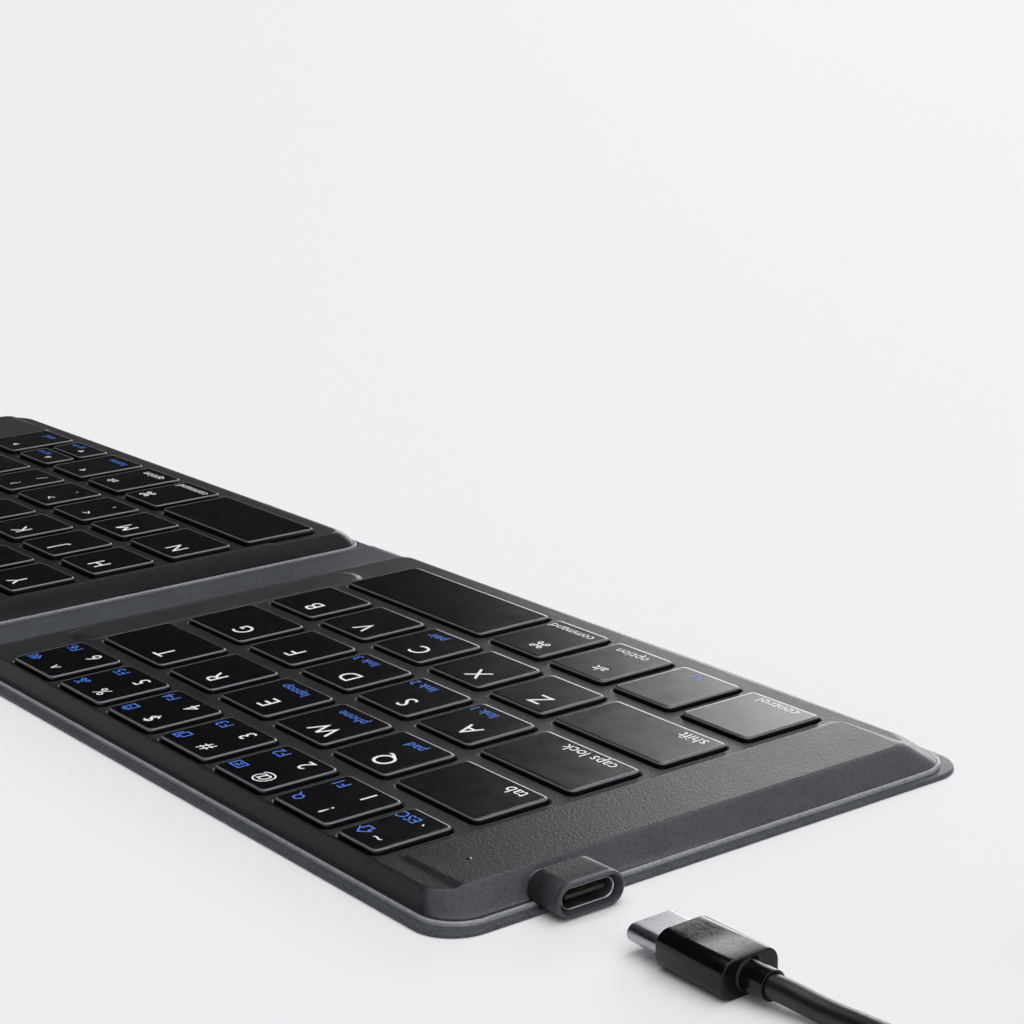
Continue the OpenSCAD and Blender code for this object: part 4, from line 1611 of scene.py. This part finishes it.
@dataclass(frozen=True)
class ChargingSocket:
    """The barrel round the socket, the socket's metal shell and its tongue."""

    bore_height: float = 3.24
    ring_length: float = 0.9
    setback: float = 0.6
    wall: float = 0.3
    chamber: float = 1.6
    tongue_width: float = 6.6
    tongue_height: float = 0.7
    tongue_length: float = 5.0
    contacts: int = 12
    contact_pitch: float = 0.5
    contact_width: float = 0.26
    sampling: Sampling = Sampling(12, 1, 14)

    def barrel(self) -> bpy.types.Object:
        """Makes the barrel: covered outside, with a plastic ring round its mouth.

        Returns:
            The piece.
        """
        bore = (BARREL_H - self.bore_height) / 2
        ring, back = MOUTH_X + self.ring_length, MOUTH_X + BARREL_L
        mouth = ((0.5, 0.1), (0.44, 0.01), (0.4, 0.0), (0.28, 0.02), (0.14, 0.1), (0.04, 0.24),
                 (0.0, 0.42))
        inner = [(bore, back), (bore, ring), *((inset, MOUTH_X + x) for inset, x in mouth),
                 (0.0, ring)]
        outer = [(0.0, ring), (0.06, ring + 0.08), (0.0, ring + 0.2), (0.0, back)]
        builder = MeshBuilder()
        builder.rings(bar_rings(BARREL_PLAN, inner, self.sampling), 1)
        builder.rings(bar_rings(BARREL_PLAN, outer, self.sampling), 0)
        piece = builder.build("port_barrel_ring", [COVERING, BARREL])
        return mounted(piece, Half.LEFT.body, "barrel_plastic", "port_barrel")

    def shell(self, builder: MeshBuilder, extent: Extent, x0: float, x1: float) -> None:
        """Adds the socket's drawn shell, closed at its back.

        Args:
            builder: Where it goes.
            extent: The CAD node's box.
            x0: The shell's mouth.
            x1: The shell's back.
        """
        _, width, height = extent.size
        w = self.wall
        path = [(w, x1 - self.chamber), (w, x0 + 0.18), (w * 0.8, x0 + 0.05), (w / 2, x0),
                (w / 5, x0 + 0.05), (0.0, x0 + 0.18), (0.0, x1)]
        rings = bar_rings(bar_plan(float(width), float(height), float(height) / 2), path,
                          self.sampling)
        builder.rings(rings, 0)
        builder.cap(rings[0], 1, up=False)
        builder.cap(rings[-1], 0)

    def tongue(self, builder: MeshBuilder, back: float) -> None:
        """Adds the tongue, with a row of contacts on each side.

        Args:
            builder: Where it goes.
            back: The X of its root.
        """
        front = back - self.tongue_length
        path = [(0.22, front), (0.08, front + 0.06), (0.0, front + 0.25), (0.0, back)]
        rings = bar_rings(bar_plan(self.tongue_width, self.tongue_height, 0.2), path,
                          Sampling(6, 1, 3))
        builder.rings(rings, 1)
        builder.cap(rings[0], 1, up=False)
        for side in (-1, 1):
            for n in range(self.contacts):
                y = PORT_Y + (n - (self.contacts - 1) / 2) * self.contact_pitch
                z = PORT_Z + side * (self.tongue_height / 2 + 0.01)
                strip = bar_rings(bar_plan(self.contact_width, 0.04, 0.005, y, z),
                                  [(0.0, back - 4.5), (0.0, back - 0.4)], Sampling(1, 1, 1))
                builder.rings(strip, 2)
                builder.cap(strip[0], 2, up=False)
                builder.cap(strip[-1], 2)

    def socket(self) -> bpy.types.Object:
        """Makes the socket: a drawn metal shell with a tongue and its contacts.

        Returns:
            The piece.
        """
        extent = Extent.of("usb_socket")
        x0, x1 = float(extent.low[0]) + self.setback, float(extent.high[0])
        builder = MeshBuilder()
        self.shell(builder, extent, x0, x1)
        self.tongue(builder, x1 - self.chamber)
        piece = builder.build("charging_socket", [SOCKET_STEEL, TONGUE, CONTACT])
        return mounted(piece, Half.LEFT.body, "socket_metal", "usb_socket")

    def build(self) -> list[bpy.types.Object]:
        """Makes both pieces."""
        return [self.barrel(), self.socket()]


# ---------------------------------------------------------------- the charging lead


CABLE_DIA = 3.2
LYING_Z = CABLE_DIA / 2 + 0.01
ROUTE_OUT = np.array([
    [-190.2, 27.4, 2.6], [-193, 27, 2.4], [-196, 26.5, 2], [-199, 26, 1.72], [-203, 25.4, 1.62],
    [-208, 25, 1.61], [-213, 24.9, 1.61], [-218, 25.1, 1.61], [-223, 25.6, 1.61],
    [-228, 26.4, 1.61], [-233, 27.4, 1.61], [-238, 28.4, 1.61], [-244, 29.3, 1.61]])
ROUTE_END = np.array([
    [-247, -9.75, 4.74], [-244, -10.3, 4.1], [-241, -11.1, 3.35], [-238, -11.8, 2.8],
    [-234.6, -12, 2.6]])


def curve_through(points: np.ndarray, step: float, pieces: int = 24) -> np.ndarray:
    """Gives a smooth curve through points.

    Between two points the curve is the cubic whose slopes there are half of the difference
    between the points on either side.

    Args:
        points: N by 3.
        step: The distance between the curve's points.
        pieces: In how many pieces the curve between two points is measured.

    Returns:
        Evenly spaced points.
    """
    ends = np.vstack([2 * points[0] - points[1], points, 2 * points[-1] - points[-2]])
    t = np.linspace(0, 1, pieces, endpoint=False)[:, None]
    parts = []
    for a, b, c, d in zip(ends, ends[1:], ends[2:], ends[3:]):
        parts.append(0.5 * (2 * b + (c - a) * t + (2 * a - 5 * b + 4 * c - d) * t ** 2
                            + (3 * b - a - 3 * c + d) * t ** 3))
    fine = np.vstack([*parts, points[-1:]])
    along = np.concatenate([[0], np.cumsum(np.linalg.norm(np.diff(fine, axis=0), axis=1))])
    places = np.linspace(0, along[-1], max(2, round(along[-1] / step) + 1))
    return np.column_stack([np.interp(places, along, fine[:, n]) for n in range(3)])


@dataclass(frozen=True)
class Coil:
    """The lead's coil: two turns on the floor, and two more on top of them.

    inwards, up and outwards are the angle where each move begins, and over how many degrees
    it lasts.
    """

    middle: tuple[float, float] = (-252.0, 10.0)
    radius: float = 19.6
    start: float = 90.0
    end: float = 1350.0
    step: float = 5.0
    inwards: tuple[float, float] = (385.0, 40.0)
    up: tuple[float, float] = (700.0, 55.0)
    outwards: tuple[float, float] = (1030.0, 60.0)

    def line(self) -> np.ndarray:
        """Gives the coil's centreline.

        Each point lies on a circle whose radius and height are smooth steps of the angle:
        inwards after the first turn, up after the second, and outwards after the third.

        Returns:
            Points, N by 3.
        """
        angle = np.arange(self.start, self.end + self.step / 2, self.step)
        inwards, up, outwards = (smooth((angle - begin) / span)
                                 for begin, span in (self.inwards, self.up, self.outwards))
        radius = self.radius - CABLE_DIA * inwards + CABLE_DIA * outwards
        turn = np.radians(angle)
        return np.column_stack([self.middle[0] + radius * np.cos(turn),
                                self.middle[1] + radius * np.sin(turn),
                                LYING_Z + (CABLE_DIA + 0.01) * up])


@dataclass(frozen=True)
class ChargingLead:
    """The lead: plug, strain relief, cord with its coil, and the plug at its far end."""

    body: str = "charging_lead"
    grip_width: float = 9.2
    grip_height: float = 5.2
    grip_length: float = 12.2
    grip_radius: float = 2.0
    relief_dia: float = 4.0
    far_width: float = 15.0
    far_length: float = 18.0
    far_radius: float = 1.6
    far_metal_width: float = 12.0
    far_metal_height: float = 4.5
    insert_width: float = 10.6
    insert_height: float = 1.4
    sampling: Sampling = Sampling(10, 6, 12)

    def grip(self) -> bpy.types.Object:
        """Makes the plug's grip with its strain relief, which tapers to the cord.

        Returns:
            The piece.
        """
        extent = Extent.of("lead_plug_grip")
        tail, x1 = float(extent.low[0]), float(extent.high[0])
        x0 = x1 - self.grip_length
        path = [(1.0, x0), (0.22, x0), (0.1, x0 + 0.03), (0.03, x0 + 0.11), (0.0, x0 + 0.25),
                (0.0, x1 - 0.3), (0.04, x1 - 0.14), (0.14, x1 - 0.04), (0.3, x1), (0.9, x1)]
        plan = bar_plan(self.grip_width, self.grip_height, self.grip_radius)
        rings = bar_rings(plan, path, self.sampling)
        builder = MeshBuilder()
        builder.rings(rings)
        builder.cap(rings[0], up=False)
        builder.cap(rings[-1])
        path = [(0.41, tail + 0.35), (0.38, tail + 0.02), (0.3, tail), (0.08, tail),
                (0.02, tail + 0.05), (0.0, tail + 0.2), (0.0, tail + 2.2), (-0.12, x0 - 0.25),
                (-0.4, x0 + 0.02), (-0.4, x0 + 0.3)]
        collar = bar_plan(self.relief_dia, self.relief_dia, self.relief_dia / 2 - 0.01)
        rings = bar_rings(collar, path, Sampling(1, 1, 10))
        builder.rings(rings)
        builder.cap(rings[0], up=False)
        piece = builder.build("lead_plug_moulding", [GRIP])
        return mounted(piece, self.body, "grip_plastic", "lead_plug_grip")

    def shell(self) -> bpy.types.Object:
        """Makes the plug's metal shell, open at its front.

        Returns:
            The piece.
        """
        extent = Extent.of("lead_plug_shell")
        x0, x1 = float(extent.low[0]) - 0.3, float(extent.high[0])
        _, width, height = (float(v) for v in extent.size)
        path = [(0.0, x0), (0.0, x1 - 0.3), (0.05, x1 - 0.1), (0.16, x1), (0.26, x1 - 0.04),
                (0.34, x1 - 0.16), (0.35, x0 + 0.8)]
        rings = bar_rings(bar_plan(width, height, height / 2), path, self.sampling)
        builder = MeshBuilder()
        builder.rings(rings, 0)
        builder.cap(rings[-1], 1)
        piece = builder.build("lead_plug_metal", [PLUG_STEEL, TONGUE])
        return mounted(piece, self.body, "plug_metal", "lead_plug_shell")

    def far_plug(self) -> bpy.types.Object:
        """Makes the larger plug at the lead's far end: grip, metal and insert.

        Returns:
            The piece.
        """
        extent = Extent.of("lead_far_plug")
        x0, x2 = float(extent.low[0]), float(extent.high[0])
        x1, y = x0 + self.far_length, float(extent.low[1] + extent.high[1]) / 2
        path = [(1.3, x0), (0.8, x0 + 0.05), (0.3, x0 + 0.3), (0.06, x0 + 0.8), (0.0, x0 + 1.4),
                (0.0, x1 - 0.6), (0.05, x1 - 0.3), (0.2, x1 - 0.08), (0.5, x1)]
        plan = bar_plan(self.far_width, self.grip_height, self.far_radius, y)
        rings = bar_rings(plan, path, self.sampling)
        builder = MeshBuilder()
        builder.rings(rings, 0)
        builder.cap(rings[0], 0, up=False)
        builder.cap(rings[-1], 0)
        path = [(0.0, x1 - 0.4), (0.0, x2 - 0.2), (0.1, x2), (0.3, x2), (0.4, x2 - 0.2),
                (0.4, x1 + 0.6)]
        metal = bar_plan(self.far_metal_width, self.far_metal_height, 0.3, y)
        rings = bar_rings(metal, path, Sampling(6, 3, 4))
        builder.rings(rings, 1)
        builder.cap(rings[-1], 2)
        insert = bar_plan(self.insert_width, self.insert_height, 0.2, y, PORT_Z + 0.9)
        rings = bar_rings(insert, [(0.0, x1 + 0.7), (0.0, x2 - 1.2), (0.2, x2 - 1.0)],
                          Sampling(4, 1, 3))
        builder.rings(rings, 2)
        builder.cap(rings[-1], 2)
        piece = builder.build("lead_far_end", [GRIP, PLUG_STEEL, TONGUE])
        return mounted(piece, self.body, "grip_plastic", "lead_far_plug")

    def cord(self, far_end: bpy.types.Object) -> bpy.types.Object:
        """Args:
            far_end: Not used.

        Returns:
            The cord.
        """
        line = curve_through(np.vstack([ROUTE_OUT, Coil().line(), ROUTE_END]), 1.0)
        curve = bpy.data.curves.new("lead_cord", "CURVE")
        curve.dimensions = "3D"
        curve.bevel_depth = CABLE_DIA / 2 * MM
        curve.bevel_resolution = 5
        curve.use_fill_caps = True
        spline = curve.splines.new("POLY")
        spline.points.add(len(line) - 1)
        flat = np.column_stack([line * MM, np.ones(len(line))])
        spline.points.foreach_set("co", flat.ravel())
        curve.materials.append(material_of(JACKET))
        cord = mounted(linked("lead_cord", curve), self.body, "lead_jacket", "lead_cable",
                       "lead_coil")
        return cord

    def build(self) -> list[bpy.types.Object]:
        """Makes the whole lead.

        Returns:
            The pieces, the cord last.
        """
        near = [self.grip(), self.shell()]
        far_end = self.far_plug()
        return [*near, far_end, self.cord(far_end)]


# ---------------------------------------------------------------- the parts inside


@dataclass(frozen=True)
class Mechanism:
    """The rubber domes and the scissor links under each key."""

    frame: dict
    half: Half
    keys: Sequence[Key]
    foot_z: float = 1.4
    travel: float = 1.35
    sharp: float = 30.0

    def build(self) -> list[bpy.types.Object]:
        """Makes one piece of domes and one of links for each body that holds keys.

        Returns:
            The pieces.
        """
        joints = {joint["child"]: joint["name"] for joint in self.frame["joints"]}
        pieces = []
        for kind, slot, finish in (("rubber_domes", "dome_rubber", RUBBER),
                                   ("scissor_links", "scissor_plastic", ACETAL)):
            source = self.frame["nodes"][f"{self.half.prefix}_{kind}"]
            points, triangles = self.mesh_of(source)
            for node, keys in by_node(self.keys).items():
                held = self.under(points, keys)[triangles].all(1)
                if not held.any():
                    continue
                used, faces = np.unique(triangles[held], return_inverse=True)
                builder = MeshBuilder()
                builder.add(points[used], faces.reshape(-1, 3))
                piece = builder.build(f"{kind}_{node}", [finish], self.sharp)
                mounted(piece, self.half.body, slot, source.name)
                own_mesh(piece)
                pieces.append(piece)
        return pieces

    @staticmethod
    def mesh_of(source: bpy.types.Object) -> tuple[np.ndarray, np.ndarray]:
        """Reads a CAD node's mesh.

        Args:
            source: The node.

        Returns:
            Its points in millimetres, and its triangles.
        """
        mesh = source.data
        mesh.calc_loop_triangles()
        corners = np.empty(len(mesh.loop_triangles) * 3, int)
        mesh.loop_triangles.foreach_get("vertices", corners)
        return points_of(mesh) / MM, corners.reshape(-1, 3)

    @staticmethod
    def under(points: np.ndarray, keys: Sequence[Key]) -> np.ndarray:
        """Tells which points lie under any of the keys.

        Args:
            points: The points, N by 3.
            keys: The keys.

        Returns:
            One flag for each point.
        """
        x, y = points[:, 0], points[:, 1]
        return np.any([(x > k.plan.x0) & (x < k.plan.x1) & (y > k.plan.y0) & (y < k.plan.y1)
                       for k in keys], axis=0)


INSIDE = {
    "battery": POUCH, "main_board": BOARD, "ribbon_cable": RIBBON,
    **{f"{half.prefix}_{part}": finish for half in Half for part, finish in
       (("support_plate", PLATE), ("membrane", MEMBRANE), ("magnets", MAGNET))}}


@dataclass(frozen=True)
class Inside:
    """The plates, films, cell, board and magnets, which keep the shape of their CAD nodes."""

    nodes: dict[str, bpy.types.Object]

    def build(self) -> list[bpy.types.Object]:
        """Gives each inner node its finish.

        Returns:
            The dressed nodes.
        """
        for name, finish in INSIDE.items():
            materials = self.nodes[name].data.materials
            materials.clear()
            materials.append(material_of(finish))
        return [self.nodes[name] for name in INSIDE]


# ---------------------------------------------------------------- the studio


@dataclass(frozen=True)
class View:
    """The camera: where it stands in millimetres, its angles in degrees, and its lens."""

    place: tuple[float, float, float] = (-383.3, 209.9, 131.3)
    azimuth: float = 233.026
    elevation: float = 14.912
    roll: float = -1.075
    lens_mm: float = 85.90
    sensor_mm: float = 36.0

    def matrix(self) -> Matrix:
        """Gives the camera's matrix.

        Its back is (sin a cos e, -cos a cos e, sin e), its right (cos a, sin a, 0), and its
        up back times right; the roll turns right and up about back.

        Returns:
            The matrix, in metres.
        """
        a, e, r = (math.radians(v) for v in (self.azimuth, self.elevation, self.roll))
        back = Vector((math.sin(a) * math.cos(e), -math.cos(a) * math.cos(e), math.sin(e)))
        right = Vector((math.cos(a), math.sin(a), 0.0))
        up = back.cross(right)
        turned_right = right * math.cos(r) + up * math.sin(r)
        turned_up = up * math.cos(r) - right * math.sin(r)
        turn = Matrix((turned_right, turned_up, back)).transposed().to_4x4()
        return Matrix.Translation(Vector(self.place) * MM) @ turn


@dataclass(frozen=True)
class Glow:
    """A round field of light in the surroundings.

    It has its full strength within inner degrees of its middle, which is given by its azimuth
    from the X axis and its elevation, and fades out at outer degrees.
    """

    azimuth: float
    elevation: float
    inner: float
    outer: float
    strength: float

    def build(self, tree: bpy.types.NodeTree, direction: Socket) -> Socket:
        """Adds the field to a world.

        Args:
            tree: The world's nodes.
            direction: The direction looked at, of length 1.

        Returns:
            The field's strength in that direction.
        """
        a, e = math.radians(self.azimuth), math.radians(self.elevation)
        middle = (math.cos(a) * math.cos(e), math.sin(a) * math.cos(e), math.sin(e))
        cosine = add_node(tree, "VectorMath", [direction, middle], operation="DOT_PRODUCT")
        limits = [math.cos(math.radians(angle)) for angle in (self.outer, self.inner)]
        return add_node(tree, "MapRange", [cosine["Value"], *limits, 0.0, self.strength],
                        interpolation_type="SMOOTHSTEP")[0]


@dataclass(frozen=True)
class Studio:
    """The camera, the lights, the floor and the pale surroundings.

    glows are, in order, the sky overhead, the low window that the key tops mirror, the small
    bright field that the plug's metal mirrors, the high fill over the front, and the low fill
    beyond the left end. backdrop is the strength of the pale band that glossy surfaces see
    round the horizon, and fade the elevations in degrees between which it fades out.
    """

    glows: tuple[Glow, ...] = (
        Glow(0.0, 90.0, 20.0, 37.0, 2.0),
        Glow(-58.0, 4.0, 17.8, 22.8, 4.6),
        Glow(-44.0, 28.5, 2.5, 6.5, 5.5),
        Glow(-80.0, 55.0, 8.0, 22.0, 2.7),
        Glow(178.0, 18.0, 10.0, 70.0, 1.3))
    backdrop: float = 0.9
    fade: tuple[float, float] = (3.0, 9.0)
    light_colour: str = "#fcfcfd"
    seen_colour: str = "#f1f2f4"
    floor_reach: float = 6.0
    clip: tuple[float, float] = (0.01, 50.0)

    def camera(self) -> None:
        """Makes the camera."""
        view = View()
        data = bpy.data.cameras.new("camera")
        data.lens, data.sensor_width = view.lens_mm, view.sensor_mm
        data.clip_start, data.clip_end = self.clip
        camera = linked("camera", data)
        camera.matrix_world = view.matrix()
        bpy.context.scene.camera = camera

    def floor(self) -> None:
        """Makes a plain pale floor that the camera sees as part of the background."""
        mesh = bpy.data.meshes.new("floor")
        r = self.floor_reach
        mesh.from_pydata([(-r, -r, 0), (r, -r, 0), (r, r, 0), (-r, r, 0)], [], [(0, 1, 2, 3)])
        mesh.materials.append(material_of(FLOOR))
        linked("floor", mesh)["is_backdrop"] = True

    def world(self) -> None:
        """Makes the surroundings: pale to the eye, and soft fields of light for the object."""
        world = bpy.data.worlds.new("studio")
        world.use_nodes = True
        add = functools.partial(add_node, world.node_tree)
        world.node_tree.nodes.clear()
        direction = add("TexCoord")["Generated"]
        rise = add("SeparateXYZ", [direction])["Z"]
        limits = [math.sin(math.radians(angle)) for angle in self.fade]
        light = add("MapRange", [rise, *limits, self.backdrop, 0.0],
                    interpolation_type="SMOOTHSTEP")[0]
        for glow in self.glows:
            light = add("Math", [light, glow.build(world.node_tree, direction)],
                        operation="ADD")[0]
        ray = add("LightPath")
        seen = add("Math", [ray["Is Camera Ray"], ray["Is Transmission Ray"]],
                   operation="MAXIMUM")[0]
        lit = add("Background", [shaded(self.light_colour), light])[0]
        pale = add("Background", [shaded(self.seen_colour)])[0]
        add("OutputWorld", [add("MixShader", [seen, lit, pale])[0]])
        bpy.context.scene.world = world

    def build(self) -> None:
        """Makes the studio."""
        self.camera()
        self.floor()
        self.world()
        bpy.context.scene.view_settings.view_transform = "Standard"


# ---------------------------------------------------------------- everything


def write_sizes(cad: Iterable, visual: Iterable) -> None:
    """Turns the box of the CAD model and that of the visual model into plain numbers.

    Args:
        cad: The CAD box's two corners.
    """
    boxes = {name: [[float(v) for v in corner] for corner in bounds]
             for name, bounds in (("cad", cad), ("visual", visual))}


def main() -> None:
    """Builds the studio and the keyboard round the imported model, and reports each piece."""
    logging.basicConfig(level=logging.INFO, format="%(name)s: %(message)s")
    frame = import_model()
    cad_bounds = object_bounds()
    nodes = frame["nodes"]
    keys = {half: [key for name in names for key in keys_of(nodes[name])]
            for half, names in KEY_NODES.items()}
    Studio().build()
    pieces = ChargingLead().build()
    for half in Half:
        pieces += UpperShell(half, keys[half]).build() + Base(half).build()
    pieces += Spine().build() + ChargingSocket().build()
    caps, legends = KeyCaps(), Legends()
    for half in Half:
        for node, group in by_node(keys[half]).items():
            pieces += [caps.build(node, group)] + legends.build(node, group)
    for half in Half:
        pieces += Mechanism(frame, half, keys[half]).build()
    pieces += Indicator().build() + Inside(nodes).build()
    for piece in pieces:
        LOG.info("%s, finished as %s", piece.name, piece.data.materials[0].name)
    write_sizes(cad_bounds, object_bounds())


if __name__ == "__main__":
    main()
